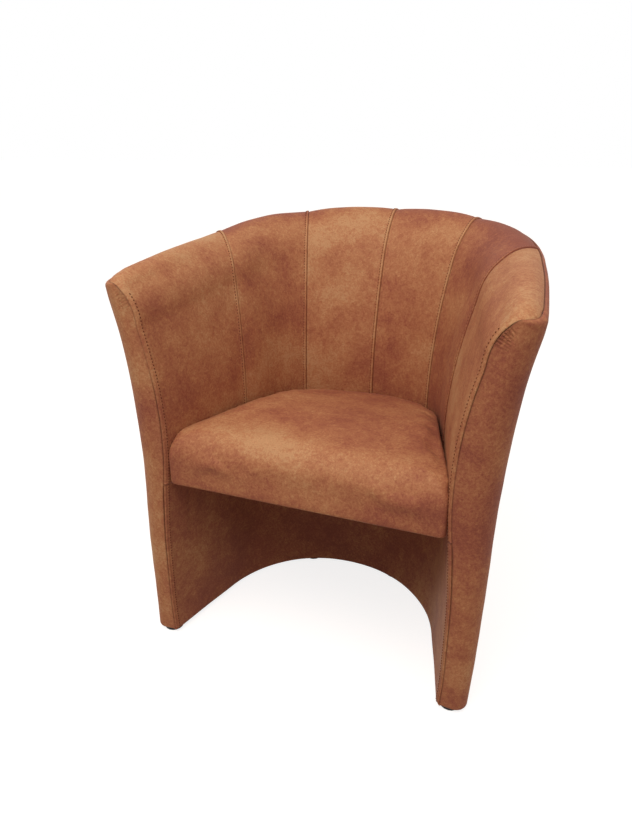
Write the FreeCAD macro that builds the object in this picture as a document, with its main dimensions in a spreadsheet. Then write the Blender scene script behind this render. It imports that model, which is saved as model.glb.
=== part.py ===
import FreeCAD, Part
import Sketcher
import math
import os

V = FreeCAD.Vector

# Upholstered tub armchair. Millimetres, +Z up, the sitter faces -Y.
# The origin is on the floor, in the middle of the chair's width and depth.
# The tub is described by level rings. Seen from above, each ring is a U: two straight
# arms that run from the front plane and touch a round back. A ring is given by its height at
# the front, half its width at the front, the radius of its back and its depth.

SIZES = {
    # whole chair
    "total_depth": 617.0,
    "rim_rise": 72.0,

    # inside of the tub, below the seat
    "foot_level": 8.0,
    "foot_half": 255.0,
    "foot_radius": 221.0,
    "foot_depth": 333.0,
    "shin_level": 165.0,
    "shin_half": 262.0,
    "shin_radius": 218.0,
    "shin_depth": 379.0,
    "ledge_level": 319.4,
    "ledge_half": 255.0,
    "ledge_radius": 206.0,
    "ledge_depth": 437.0,

    # inside of the tub, above the seat, up to the crest of the roll
    "seat_level": 338.0,
    "seat_half": 252.0,
    "seat_radius": 188.0,
    "seat_depth": 448.0,
    "waist_level": 474.0,
    "waist_half": 248.0,
    "waist_radius": 184.0,
    "waist_depth": 451.0,
    "shoulder_level": 618.0,
    "shoulder_half": 272.0,
    "shoulder_radius": 216.0,
    "shoulder_depth": 498.0,
    "upper_level": 659.0,
    "upper_half": 282.0,
    "upper_radius": 229.0,
    "upper_depth": 531.0,
    "brow_level": 678.0,
    "brow_half": 292.0,
    "brow_radius": 250.0,
    "brow_depth": 556.0,
    "crest_level": 687.0,
    "crest_half": 314.0,
    "crest_radius": 286.0,
    "crest_depth": 590.0,

    # outside of the tub, with the rounding of the arm's front edge
    "base_half": 304.5,
    "base_radius": 270.0,
    "base_depth": 382.0,
    "base_round": 20.0,
    "calf_level": 185.0,
    "calf_half": 310.0,
    "calf_radius": 270.0,
    "calf_depth": 441.0,
    "calf_round": 31.0,
    "hip_level": 412.0,
    "hip_half": 315.5,
    "hip_radius": 276.0,
    "hip_depth": 520.0,
    "hip_round": 46.0,
    "chest_level": 577.0,
    "chest_half": 326.0,
    "chest_radius": 299.0,
    "chest_depth": 579.0,
    "chest_round": 44.0,
    "rim_level": 682.0,
    "rim_half": 343.5,
    "rim_radius": 334.0,
    "rim_depth": 617.0,
    "rim_round": 32.0,

    # channels of the inside back: the seams stand in upright planes through the middle of the
    # front plane, at these angles from straight back
    "inner_seam_angle": 19.0,
    "outer_seam_angle": 41.5,
    "back_crown": 5.0,
    "arm_crown": 3.0,
    "back_panel_angle": 35.0,

    # layers of the wall
    "cover_thick": 1.5,
    "layer_gap": 0.3,
    "panel_gap": 0.8,
    "channel_foam": 18.0,
    "pad_clear": 1.2,
    "lower_fleece": 5.0,
    "outer_wadding": 6.0,
    "lining_thick": 3.0,
    "front_foam": 6.0,

    # wooden frame
    "board_thick": 18.0,
    "post_thick": 18.0,
    "rib_clear": 1.1,
    "sole_thick": 22.0,
    "top_rib_level": 606.0,
    "ledge_width": 45.0,
    "ledge_front": 60.0,
    "side_stud_place": 175.0,
    "rear_stud_angle": 52.0,
    "stud_clear": 2.6,

    # seat
    "seat_front_top": 384.0,
    "seat_crown_top": 419.0,
    "seat_rear_top": 392.0,
    "seat_side_drop": 13.0,
    "seat_nose": 44.0,
    "seat_corner": 14.0,
    "seat_tuck": 4.0,
    "seat_setback": 3.0,
    "seat_side_gap": 2.0,
    "seat_frame_thick": 20.0,
    "seat_frame_width": 60.0,
    "seat_frame_inset": 10.0,
    "webbing_thick": 1.8,
    "webbing_width": 50.0,
    "webbing_pitch": 82.0,
    "webbing_front": 110.0,
    "webbing_margin": 8.0,
    "felt_thick": 3.0,
    "dust_thick": 0.8,

    # fasteners and glides
    "screw_dia": 5.0,
    "screw_head_dia": 10.0,
    "screw_head_high": 3.0,
    "screw_bite": 14.0,
    "screw_front": 90.0,
    "screw_rear_angle": 24.0,
    "glide_dia": 38.0,
    "glide_round": 3.0,
    "glide_front": 20.5,
    "glide_half": 276.0,
    "glide_rear_angle": 16.0,
    "nail_dia": 3.0,
    "nail_length": 22.0,
    "nail_head_dia": 9.0,
    "nail_head_high": 1.5,
    "nail_sink": 2.0,
}

doc = FreeCAD.newDocument("tub_chair")
sheet = doc.addObject("Spreadsheet::Sheet", "sizes")
for row, (alias, amount) in enumerate(SIZES.items(), start=1):
    sheet.set("A%d" % row, alias)
    sheet.set("B%d" % row, str(amount))
    sheet.setAlias("B%d" % row, alias)
doc.recompute()


def size(alias):
    return float(sheet.get(alias))


FRONT = -size("total_depth") / 2
GAP = size("layer_gap")
COVER = size("cover_thick")

# Depths under the visible surface at which each layer of the wall begins and ends
PAD_FACE = COVER + 2 * GAP
PAD_BACK = PAD_FACE + size("channel_foam")
UPPER_LINING = PAD_BACK + size("pad_clear")
UPPER_FRAME = UPPER_LINING + size("lining_thick") + GAP
FLEECE_FACE = COVER + GAP
FLEECE_BACK = FLEECE_FACE + size("lower_fleece")
LOWER_LINING = FLEECE_BACK + GAP
LOWER_FRAME = LOWER_LINING + size("lining_thick") + GAP
WADDING_FACE = COVER + GAP
WADDING_BACK = WADDING_FACE + size("outer_wadding")
PAD_EDGE = WADDING_BACK + size("pad_clear")
OUTER_LINING = PAD_EDGE
OUTER_FRAME = OUTER_LINING + size("lining_thick") + GAP
POST_FRONT = OUTER_LINING + size("front_foam") + GAP
POST_BACK = POST_FRONT + size("post_thick")

pieces = []


def add_shape(name, shape):
    """A sub-part whose shape is worked out here from the sheet's sizes."""
    piece = doc.addObject("Part::Feature", name)
    piece.Label = name
    piece.Shape = shape
    piece.Placement = FreeCAD.Placement()
    pieces.append(piece)
    return piece


def closed(points):
    """A closed wire of straight edges through points."""
    return Part.makePolygon(points + points[:1])


def arc_steps(first, middle, last, steps):
    """Points along the circle arc through three points of a plane, in equal steps."""
    x1, y1 = middle[0] - first[0], middle[1] - first[1]
    x2, y2 = last[0] - first[0], last[1] - first[1]
    cross = 2.0 * (x1 * y2 - y1 * x2)
    x0 = (y2 * (x1 ** 2 + y1 ** 2) - y1 * (x2 ** 2 + y2 ** 2)) / cross
    y0 = (x1 * (x2 ** 2 + y2 ** 2) - x2 * (x1 ** 2 + y1 ** 2)) / cross
    radius = math.hypot(x0, y0)
    start = math.atan2(-y0, -x0)
    sweep = math.atan2(y2 - y0, x2 - x0) - start
    if cross > 0:
        sweep = sweep % (2.0 * math.pi)
    else:
        sweep = -(-sweep % (2.0 * math.pi))
    turns = [start + sweep * step / steps for step in range(steps + 1)]
    return [(first[0] + x0 + radius * math.cos(turn), first[1] + y0 + radius * math.sin(turn))
            for turn in turns]


def outward(solid):
    if solid.Volume < 0:
        solid.reverse()
    return solid


def loft(sections, front_points=None):
    """A solid from section to section, in flat three-sided faces because the walls twist. A
    section is a ring of points. Its first points run along its front, the rest run back behind
    them, and there the faces split along the other diagonal, so that layers stay parallel."""
    if front_points is None:
        front_points = len(sections[0]) / 2
    faces = [Part.Face(closed(sections[0])), Part.Face(closed(sections[-1]))]
    for near, far in zip(sections, sections[1:]):
        for index, corner in enumerate(near):
            before = index - 1
            if 0 < index < front_points:
                halves = ([near[before], corner, far[before]], [corner, far[index], far[before]])
            else:
                halves = ([near[before], corner, far[index]], [near[before], far[index], far[before]])
            faces += [Part.Face(closed(half)) for half in halves]
    shell = Part.Shell(faces)
    shell.sewShape()
    return outward(Part.Solid(shell))


class Ring:
    """One level of the tub: a U with straight arms and a round back, in a plane that tilts."""

    def __init__(self, level, half, radius, depth, front_round=0.0):
        self.level = level
        self.half = half
        self.radius = radius
        self.depth = depth
        self.front_round = front_round
        share = (level - size("seat_level")) / (size("rim_level") - size("seat_level"))
        self.slope = size("rim_rise") * max(share, 0.0) / depth
        self.front_lean = 0.0
        self.back_lean = 0.0

    def moved(self, outwards):
        """The same ring moved square to the wall. The wall's lean makes the level step longer."""
        at_front = outwards * math.hypot(1.0, self.front_lean)
        at_back = outwards * math.hypot(1.0, self.back_lean)
        copy = Ring(self.level, self.half + at_front, self.radius + 0.5 * (at_front + at_back),
                    self.depth + at_back, self.front_round)
        copy.slope = self.slope
        copy.front_lean = self.front_lean
        copy.back_lean = self.back_lean
        return copy

    def height(self, behind):
        """Height of the ring's plane at a distance behind the front plane."""
        return self.level + self.slope * behind

    def centre(self):
        return self.depth - self.radius

    def touch(self):
        """Where the straight arm touches the round back: x, and distance behind the front."""
        reach = math.hypot(self.half, self.centre())
        turn = math.acos(self.radius / reach) - math.atan2(self.centre(), self.half)
        return self.radius * math.cos(turn), self.centre() + self.radius * math.sin(turn)

    def arm_x(self, behind):
        touch_x, touch_y = self.touch()
        return self.half - (self.half - touch_x) * behind / touch_y

    def radial(self, angle, origin=0.0):
        """Distance to the ring from a point on the chair's middle line, at an angle from
        straight back, and the cosine between that direction and the line square to the wall."""
        across = abs(math.sin(angle))
        back = math.cos(angle)
        touch_x, touch_y = self.touch()
        if across * (touch_y - origin) >= back * touch_x:
            lean = (self.half - touch_x) / touch_y
            distance = (self.half - lean * origin) / (across + lean * back)
            return distance, (across + lean * back) / math.hypot(1.0, lean)
        offset = self.centre() - origin
        middle = offset * back
        distance = middle + math.sqrt(middle ** 2 - offset ** 2 + self.radius ** 2)
        return distance, (distance - middle) / self.radius

    def point(self, x, behind):
        return V(x, FRONT + behind, self.height(behind))

def ring(name, level=None, front_round=0.0):
    height = size(name + "_level") if level is None else level
    return Ring(height, size(name + "_half"), size(name + "_radius"), size(name + "_depth"),
                front_round)


def set_leans(rings):
    """Note on each ring how far the wall leans outwards per millimetre of height."""
    for index, level in enumerate(rings):
        below = rings[max(index - 1, 0)]
        above = rings[min(index + 1, len(rings) - 1)]
        level.front_lean = (above.half - below.half) / (above.level - below.level)
        climb = above.height(above.depth) - below.height(below.depth)
        level.back_lean = (above.depth - below.depth) / climb
    return rings


def between(rings, level):
    """The ring at a level, on straight lines between two rings of a list."""
    pairs = list(zip(rings, rings[1:]))
    lower, upper = next((pair for pair in pairs if level <= pair[1].level), pairs[-1])
    share = (level - lower.level) / (upper.level - lower.level)
    mix = {}
    for name in ("half", "radius", "depth", "front_round", "front_lean", "back_lean"):
        mix[name] = getattr(lower, name) + share * (getattr(upper, name) - getattr(lower, name))
    result = Ring(level, mix["half"], mix["radius"], mix["depth"], mix["front_round"])
    result.slope = lower.slope + share * (upper.slope - lower.slope)
    result.front_lean = mix["front_lean"]
    result.back_lean = mix["back_lean"]
    return result


def plane_cut(rings, level, slope):
    """The wall's U in a plane with a slope of its own, from its height at the front."""
    front = between(rings, level)
    back = between(rings, level - (front.slope - slope) * front.depth)
    result = Ring(level, front.half, back.radius, back.depth)
    result.slope = slope
    result.front_lean = front.front_lean
    result.back_lean = back.back_lean
    return result


LOWER_INSIDE = set_leans([ring("foot"), ring("shin"), ring("ledge")])
UPPER_INSIDE = set_leans([ring(name) for name in ("seat", "waist", "shoulder")])
ROLL = [ring(name) for name in ("upper", "brow", "crest")]
OUTSIDE = set_leans([
    ring("base", level=size("foot_level"), front_round=size("base_round")),
    ring("calf", front_round=size("calf_round")),
    ring("hip", front_round=size("hip_round")),
    ring("chest", front_round=size("chest_round")),
    ring("rim", front_round=size("rim_round")),
])
RIM = OUTSIDE[-1]
RIB_TOP = size("top_rib_level") + size("board_thick")


# Inside of the tub. Sections stand in upright planes that fan out from the middle of the front
# plane. A section goes up the wall in one arc, over the brow in a second and down to the rim in
# a third, each in short straight steps, so that each channel can be lofted from seam to seam.

WALL_STEPS = 4
BROW_STEPS = 3
ROLL_STEPS = 6
REACH_STEPS = 8


def front_x(level, depth, behind):
    """Half width of the outside wall at a depth under its surface, round the arm's corner."""
    corner = level.front_round
    if behind >= corner:
        return level.moved(-depth).arm_x(behind)
    middle = level.arm_x(corner) - corner
    return middle + math.sqrt(max((corner - depth) ** 2 - (corner - behind) ** 2, 0.0))


def outside_reach(level, angle, depth):
    """Distance to the outside wall at an angle, found step by step where it rounds the corner."""
    distance = level.moved(-depth).radial(angle)[0]
    for step in range(REACH_STEPS):
        behind = distance * math.cos(angle)
        if behind < level.front_round:
            distance = front_x(level, depth, behind) / abs(math.sin(angle))
    return distance


def plan_point(angle, distance, height):
    return V(distance * math.sin(angle), FRONT + distance * math.cos(angle), height)


def face_of(rings, angle):
    """Where a section plane meets each ring: distance, height."""
    face = []
    for level in rings:
        distance = level.radial(angle)[0]
        face.append((distance, level.height(distance * math.cos(angle))))
    return face


def sunk(angle, face, depth, square):
    """A section's points moved into the wall, square to the section's own line, and its ends
    on the level. The section plane meets the wall at a slant, so a level step is longer."""
    last = len(face) - 1
    points = []
    for index, (distance, height) in enumerate(face):
        before = face[max(index - 1, 0)]
        after = face[min(index + 1, last)]
        run = after[0] - before[0]
        climb = after[1] - before[1]
        slope = math.hypot(run, climb)
        if index in (0, last):
            points.append((distance + depth * slope / climb / square, height))
        else:
            points.append((distance + depth * climb / slope / square,
                           height - depth * run / slope))
    return points


def placed(angle, points):
    return [plan_point(angle, distance, height) for distance, height in points]


def wall_face(angle):
    return arc_steps(*face_of(UPPER_INSIDE, angle), WALL_STEPS)


def roll_face(angle, rim_inset):
    """The wall's inside from the seat over the crest to the rim."""
    upper, brow, crest = face_of(ROLL, angle)
    reach = outside_reach(RIM, angle, rim_inset)
    crest_reach = min(crest[0], 0.5 * (brow[0] + reach))
    share = (crest_reach - brow[0]) / (crest[0] - brow[0])
    crest = (crest_reach, brow[1] + (crest[1] - brow[1]) * share)
    rim = (reach, RIM.height(RIM.radial(angle)[0] * math.cos(angle)) + COVER + GAP)
    wall = wall_face(angle)
    roll = arc_steps(wall[-1], upper, brow, BROW_STEPS)[1:] + arc_steps(brow, crest, rim, ROLL_STEPS)[1:]
    return wall + roll


def cover_section(angle, crown):
    """Channel cover: from the seat up the wall, over the roll, down to the rim seam."""
    square = UPPER_INSIDE[1].radial(angle)[1]
    face = roll_face(angle, 0.0)
    outer = sunk(angle, face, -crown, square)
    inner = sunk(angle, face, COVER - crown, square)
    outer[-1] = face[-1]
    inner[-1] = (face[-1][0], face[-1][1] - COVER)
    return placed(angle, outer + inner[::-1])


def trimmed(points, reach):
    """The points up to a distance, and what lies further brought down there in short steps."""
    result = [points[0]]
    for before, after in zip(points, points[1:]):
        if after[0] <= reach:
            result.append(after)
        elif before[0] < reach:
            share = (reach - before[0]) / (after[0] - before[0])
            result.append((reach, before[1] + share * (after[1] - before[1])))
        else:
            result.append((reach, result[-1][1] - COVER))
    return result


def pad_section(angle, crown):
    """Channel foam: lies under the cover and fills the roll down to the top rib."""
    square = UPPER_INSIDE[1].radial(angle)[1]
    rim_reach = outside_reach(RIM, angle, PAD_EDGE)
    rim_height = RIM.height(rim_reach * math.cos(angle))
    face = roll_face(angle, 0.0)
    outer = sunk(angle, face, PAD_FACE - crown, square)
    outer[-1] = (face[-1][0], face[-1][1] - PAD_FACE)
    outer = trimmed(outer, rim_reach) + [(rim_reach, rim_height)]
    wall = sunk(angle, wall_face(angle), PAD_BACK, square)
    rib = between(OUTSIDE, RIB_TOP + GAP)
    far = outside_reach(rib, angle, PAD_EDGE)
    edge = UPPER_INSIDE[-1].moved(UPPER_FRAME).radial(angle)[0]
    heel = [(distance, rib.height(distance * math.cos(angle))) for distance in (far, edge)]
    return placed(angle, outer + heel + wall[::-1])


def strip_section(angle, rings, front, back):
    """A thin layer of the wall through three rings."""
    square = rings[1].radial(angle)[1]
    face = arc_steps(*face_of(rings, angle), WALL_STEPS)
    outer = sunk(angle, face, front, square)
    inner = sunk(angle, face, back, square)
    return placed(angle, outer + inner[::-1])


def front_angle(behind, distance):
    return math.radians(90.0) - math.atan(behind / distance)


def spread(start, end, steps):
    return [start + (end - start) * step / steps for step in range(steps + 1)]


def crown_at(angles, angle, crown):
    middle = 0.5 * (angles[0] + angles[-1])
    return crown * (1.0 - ((angle - middle) / (angles[-1] - middle)) ** 2)


SEAM_INNER = math.radians(size("inner_seam_angle"))
SEAM_OUTER = math.radians(size("outer_seam_angle"))
ARM_END = front_angle(size("rim_round"), size("rim_half"))
PANEL_STEPS = 5
ARM_STEPS = 6
CORNER_SHARES = (0.3, 0.55, 0.8, 1.0)


def arm_angles(behind):
    end = front_angle(behind, size("seat_half"))
    corner = [ARM_END + (end - ARM_END) * share for share in CORNER_SHARES]
    return spread(SEAM_OUTER, ARM_END, ARM_STEPS) + corner


def channel_angles(place, behind):
    if place == "centre":
        return spread(0.0, SEAM_INNER, PANEL_STEPS), size("back_crown")
    if place == "side":
        return spread(SEAM_INNER, SEAM_OUTER, PANEL_STEPS), size("back_crown")
    return arm_angles(behind), size("arm_crown")


def channel(hand, place, behind, section):
    angles, crown = channel_angles(place, behind)
    front_points = WALL_STEPS + BROW_STEPS + ROLL_STEPS + 1
    return loft([section(hand * angle, crown_at(angles, angle, crown)) for angle in angles],
                front_points)


def wall_layer(rings, start, front, back):
    """A thin layer all the way round the inside, from arm to arm."""
    half = spread(0.0, SEAM_INNER, PANEL_STEPS)[1:] + spread(SEAM_INNER, SEAM_OUTER, PANEL_STEPS)[1:]
    half += arm_angles(start)[1:]
    angles = [-angle for angle in half[::-1]] + [0.0] + half
    return loft([strip_section(angle, rings, front, back) for angle in angles])


for hand, side in ((-1, "left"), (1, "right")):
    for place in ("centre", "side", "arm"):
        add_shape("inner_cover_%s_%s" % (side, place),
                  channel(hand, place, COVER + GAP, cover_section))
        add_shape("channel_pad_%s_%s" % (side, place),
                  channel(hand, place, OUTER_LINING, pad_section))

add_shape("upper_lining", wall_layer(UPPER_INSIDE, POST_FRONT, UPPER_LINING,
                                     UPPER_LINING + size("lining_thick")))
add_shape("lower_cover", wall_layer(LOWER_INSIDE, COVER + GAP, 0.0, COVER))
add_shape("lower_fleece", wall_layer(LOWER_INSIDE, OUTER_LINING, FLEECE_FACE, FLEECE_BACK))
add_shape("lower_lining", wall_layer(LOWER_INSIDE, POST_FRONT, LOWER_LINING,
                                     LOWER_LINING + size("lining_thick")))


# Outside of the tub. Each layer is a strip in the ring's own plane, ruled from ring to ring:
# across the arm's front, round its corner, along the side and into the round back.

CORNER_STEPS = 5
SIDE_STEPS = 6
ARM_SPANS = 5
BACK_STEPS = 16
SIDE_END = math.radians(size("back_panel_angle"))


def inside_half(level):
    rings = LOWER_INSIDE if level < size("ledge_level") else UPPER_INSIDE + ROLL
    return between(rings, level).half


def back_turn(level, angle):
    """Turn about the round back's own centre, for a point seen at an angle from the front."""
    distance = level.radial(angle)[0]
    return math.atan2(distance * math.cos(angle) - level.centre(), distance * abs(math.sin(angle)))


def side_points(level, hand, depth, start):
    """Points along one side of a ring: front, corner, arm, and back to the panel's seam."""
    edge = level.moved(-depth)
    corner = level.front_round
    middle = level.arm_x(corner) - corner
    inner = corner - depth
    start_x = min(inside_half(level.level) + start, middle - GAP)
    points = [level.point(hand * start_x, depth)]
    for turn in spread(0.0, math.pi / 2, CORNER_STEPS):
        points.append(level.point(hand * (middle + inner * math.sin(turn)),
                                  corner - inner * math.cos(turn)))
    touch_x, touch_y = edge.touch()
    for behind in spread(corner, touch_y, ARM_SPANS)[1:-1]:
        points.append(edge.point(hand * edge.arm_x(behind), behind))
    first = math.atan2(touch_y - edge.centre(), touch_x)
    for turn in spread(first, back_turn(level, SIDE_END), SIDE_STEPS):
        points.append(edge.point(hand * edge.radius * math.cos(turn),
                                 edge.centre() + edge.radius * math.sin(turn)))
    return points


def side_section(level, hand, front, back, start):
    return (side_points(level, hand, front, start)
            + side_points(level, hand, back, start)[::-1])


def back_points(level, depth, start, steps):
    """Points round the back between two turns, which are equal left and right."""
    edge = level.moved(-depth)
    return [edge.point(edge.radius * math.cos(turn), edge.centre() + edge.radius * math.sin(turn))
            for turn in spread(start, math.pi - start, steps)]


def back_section(level, front, back):
    start = back_turn(level, SIDE_END) + size("panel_gap") / level.radius
    return (back_points(level, front, start, BACK_STEPS)
            + back_points(level, back, start, BACK_STEPS)[::-1])


def lining_points(level, depth, start):
    edge = level.moved(-depth)
    touch_x, touch_y = edge.touch()
    arm = [(edge.arm_x(behind), behind) for behind in spread(start, touch_y, ARM_SPANS)[:-1]]
    first = math.atan2(touch_y - edge.centre(), touch_x)
    panel = back_turn(level, SIDE_END)
    side = [(edge.radius * math.cos(turn), edge.centre() + edge.radius * math.sin(turn))
            for turn in spread(first, panel, SIDE_STEPS)[:-1]]
    half = arm + side
    return ([edge.point(x, behind) for x, behind in half]
            + back_points(level, depth, panel, BACK_STEPS)
            + [edge.point(-x, behind) for x, behind in half[::-1]])


def lining_section(level, front, back, start):
    return lining_points(level, front, start) + lining_points(level, back, start)[::-1]


def rings_to(top):
    """The outside rings, with one more in the upper band and the last one at the top level."""
    marks = [level.level for level in OUTSIDE if level.level < top]
    marks += [0.5 * (marks[-1] + top), top]
    return [between(OUTSIDE, mark) for mark in marks]


TOP_EDGE = size("rim_level") - GAP
for hand, side in ((-1, "left"), (1, "right")):
    add_shape("outer_cover_" + side,
              loft([side_section(level, hand, 0.0, COVER, 0.0)
                          for level in rings_to(size("rim_level"))]))
    add_shape("outer_wadding_" + side,
              loft([side_section(level, hand, WADDING_FACE, WADDING_BACK,
                                    COVER + 2 * size("pad_clear"))
                          for level in rings_to(TOP_EDGE)]))
add_shape("outer_cover_back",
          loft([back_section(level, 0.0, COVER) for level in rings_to(size("rim_level"))]))
add_shape("outer_wadding_back",
          loft([back_section(level, WADDING_FACE, WADDING_BACK)
                      for level in rings_to(TOP_EDGE)]))
add_shape("outer_lining",
          loft([lining_section(level, OUTER_LINING, OUTER_LINING + size("lining_thick"),
                                     max(POST_BACK, size("hip_round")))
                      for level in rings_to(RIB_TOP)]))

# Front of each arm: an upright post, rounded like the arm's outer corner, under a foam.

UPRIGHT_STEPS = 4


def corner_start(level, inner, start, depth):
    """How far behind the front plane an upright begins, to stay clear of the rounded corner."""
    corner = level.front_round
    across = max(inner + GAP - level.arm_x(corner) + corner, 0.0)
    return max(start, corner - math.sqrt((corner - depth) ** 2 - across ** 2) + GAP)


def upright_section(level, hand, start, end, lower, upper, depth):
    below = level.level < size("seat_level") - GAP
    inner = inside_half(level.level) + (lower if below else upper)
    start = corner_start(level, inner, start, depth)
    points = [level.point(hand * inner, start)]
    for behind in spread(start, end, UPRIGHT_STEPS):
        points.append(level.point(hand * max(front_x(level, depth, behind), inner + GAP), behind))
    return points + [level.point(hand * inner, end)]


def upright_levels(top):
    marks = sorted([size("ledge_level"), size("seat_level"), size("waist_level")]
                   + [level.level for level in OUTSIDE if level.level < top] + [top])
    return [between(OUTSIDE, mark) for mark in marks]


for hand, side in ((-1, "left"), (1, "right")):
    add_shape("front_post_" + side,
              loft([upright_section(level, hand, POST_FRONT, POST_BACK, LOWER_FRAME, UPPER_FRAME,
                                       OUTER_FRAME + size("rib_clear"))
                       for level in upright_levels(RIB_TOP)]))
    add_shape("front_foam_" + side,
              loft([upright_section(level, hand, PAD_EDGE + GAP, POST_FRONT - GAP, LOWER_FRAME,
                                       UPPER_FRAME, PAD_EDGE)
                       for level in upright_levels(RIB_TOP)]))


# Wooden ribs, cut from board. Each is a U that lies inside the wall, from post to post.

def flat(x, behind):
    return V(x, FRONT + behind, 0.0)


def arc(start, middle, end):
    """An arc that runs anticlockwise, as a sketch needs it."""
    if (middle - start).cross(end - middle).z < 0:
        start, end = end, start
    return Part.Arc(start, middle, end)


def horseshoe(outer, inner, front):
    """The outline of a U-shaped board: an outer and an inner ring, cut off at the front."""
    outer_x, outer_y = outer.touch()
    inner_x, inner_y = inner.touch()
    ends = [flat(-outer.arm_x(front), front), flat(-outer_x, outer_y), flat(outer_x, outer_y),
            flat(outer.arm_x(front), front), flat(inner.arm_x(front), front),
            flat(inner_x, inner_y), flat(-inner_x, inner_y), flat(-inner.arm_x(front), front)]
    edges = [Part.LineSegment(ends[index], ends[(index + 1) % 8]) for index in range(8)]
    edges[1] = arc(ends[1], flat(0.0, outer.depth), ends[2])
    edges[5] = arc(ends[5], flat(0.0, inner.depth), ends[6])
    return edges


def sketch_on(body, name, role, edges):
    """A sketch on one of the body's own planes."""
    sketch = body.newObject("Sketcher::SketchObject", name)
    plane = next(item for item in body.Origin.OriginFeatures if item.Role == role)
    sketch.AttachmentSupport = [(plane, "")]
    sketch.MapMode = "FlatFace"
    sketch.Visibility = False
    sketch.addGeometry(edges, False)
    return sketch


def join_ends(sketch):
    """Coincident constraints wherever two edges of a sketch end at one point."""
    ends = []
    for index, edge in enumerate(sketch.Geometry):
        ends += [(index, 1, edge.StartPoint), (index, 2, edge.EndPoint)]
    for number, (index, end, place) in enumerate(ends):
        for other, other_end, other_place in ends[number + 1:]:
            if other != index and place.distanceToPoint(other_place) < GAP / 100:
                sketch.addConstraint(Sketcher.Constraint("Coincident", index, end,
                                                         other, other_end))


def new_body(name):
    body = doc.addObject("PartDesign::Body", name)
    body.Label = name
    pieces.append(body)
    return body


def board(name, role, edges, thickness, middle=False):
    """A board: a closed outline on a plane of its own body, padded to a size of the sheet."""
    body = new_body(name)
    sketch = sketch_on(body, name + "_outline", role, edges)
    join_ends(sketch)
    pad = body.newObject("PartDesign::Pad", name + "_pad")
    pad.Profile = sketch
    pad.setExpression("Length", "sizes." + thickness)
    if middle:
        pad.SideType = "Symmetric"
    return body


def holes(body, name, places, diameter):
    """Round holes right through a board, at places on its plane."""
    circles = [Part.Circle(place, V(0, 0, 1), diameter / 2) for place in places]
    sketch = sketch_on(body, name, "XY_Plane", circles)
    for index in range(len(places)):
        sketch.addConstraint(Sketcher.Constraint("Diameter", index, diameter))
    pocket = body.newObject("PartDesign::Pocket", name + "_pocket")
    pocket.Profile = sketch
    pocket.Type = "ThroughAll"
    pocket.Reversed = True


def mirrored(places):
    return places + [V(-place.x, place.y, place.z) for place in places]


def spot(ring_line, angle, centre=0.0):
    """A place on a ring, seen at an angle from straight back."""
    distance = ring_line.radial(angle, centre)[0]
    return flat(distance * math.sin(angle), centre + distance * math.cos(angle))


RIB_CLEAR = size("rib_clear")
SOLE_TOP = size("foot_level") + size("sole_thick")
SEAT_RIB = size("ledge_level") + GAP
LEDGE_TOP = SEAT_RIB + size("board_thick")
HOLE_CLEAR = 2 * GAP

foot_inside = between(LOWER_INSIDE, SOLE_TOP)
foot_outside = between(OUTSIDE, size("foot_level"))
rear_angle = math.radians(size("glide_rear_angle"))
rear_glide = 0.5 * (spot(foot_inside, rear_angle) + spot(foot_outside, rear_angle))
REAR_GLIDES = mirrored([rear_glide])
FRONT_GLIDES = mirrored([flat(size("glide_half"), size("glide_front"))])

base_rib = board("base_rib", "XY_Plane",
                 horseshoe(foot_outside.moved(-OUTER_FRAME - RIB_CLEAR),
                           foot_inside.moved(LOWER_FRAME + RIB_CLEAR), POST_BACK), "sole_thick")
base_rib.setExpression("Placement.Base.z", "sizes.foot_level")
holes(base_rib, "nail_holes", REAR_GLIDES, size("nail_dia") + HOLE_CLEAR)

# The middle rib has a ledge on its inner side, which carries the seat.

ledge_start = size("ledge_front")
rib_outside = plane_cut(OUTSIDE, SEAT_RIB, 0.0).moved(-OUTER_FRAME - RIB_CLEAR)
rib_inside = between(LOWER_INSIDE, size("ledge_level")).moved(COVER)
ledge = ring("seat").moved(-size("ledge_width"))
outer_edges = horseshoe(rib_outside, ledge, POST_BACK)
half_step = [flat(rib_outside.arm_x(POST_BACK), POST_BACK),
             flat(rib_inside.arm_x(POST_BACK), POST_BACK),
             flat(rib_inside.arm_x(ledge_start), ledge_start),
             flat(ledge.arm_x(ledge_start), ledge_start), flat(*ledge.touch())]
rib_edges = outer_edges[:3] + [outer_edges[5]]
for hand in (1, -1):
    corners = [V(hand * corner.x, corner.y, 0.0) for corner in half_step]
    rib_edges += [Part.LineSegment(start, end) for start, end in zip(corners, corners[1:])]
seat_rib = board("seat_rib", "XY_Plane", rib_edges, "board_thick")
seat_rib.setExpression("Placement.Base.z", "sizes.ledge_level + sizes.layer_gap")

TILT = between(OUTSIDE, RIB_TOP).slope
TILT_ANGLE = math.atan(TILT)


def on_tilt(half, radius, depth):
    """A ring drawn in the tilted plane of the top rib, where its depth measures longer."""
    return Ring(RIB_TOP, half, radius, depth / math.cos(TILT_ANGLE))


rib_outside = plane_cut(OUTSIDE, size("top_rib_level"), TILT).moved(-OUTER_FRAME - RIB_CLEAR)
rib_inside = plane_cut(UPPER_INSIDE + ROLL, RIB_TOP, TILT)
rib_inside = rib_inside.moved(UPPER_FRAME + size("stud_clear") + size("board_thick") * TILT)
top_rib = board("top_rib", "XY_Plane",
                horseshoe(on_tilt(rib_outside.half, rib_outside.radius, rib_outside.depth),
                          on_tilt(rib_inside.half, rib_inside.radius, rib_inside.depth),
                          (POST_BACK + size("board_thick") * TILT) / math.cos(TILT_ANGLE)),
                "board_thick")
turn = FreeCAD.Rotation(V(1, 0, 0), math.degrees(TILT_ANGLE))
top_rib.Placement = FreeCAD.Placement(V(0, FRONT, size("top_rib_level")) - turn.multVec(flat(0, 0)),
                                      turn)


# Studs: upright boards between the ribs, two at the sides and three round the back. Their
# inner edges follow the linings.

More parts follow.
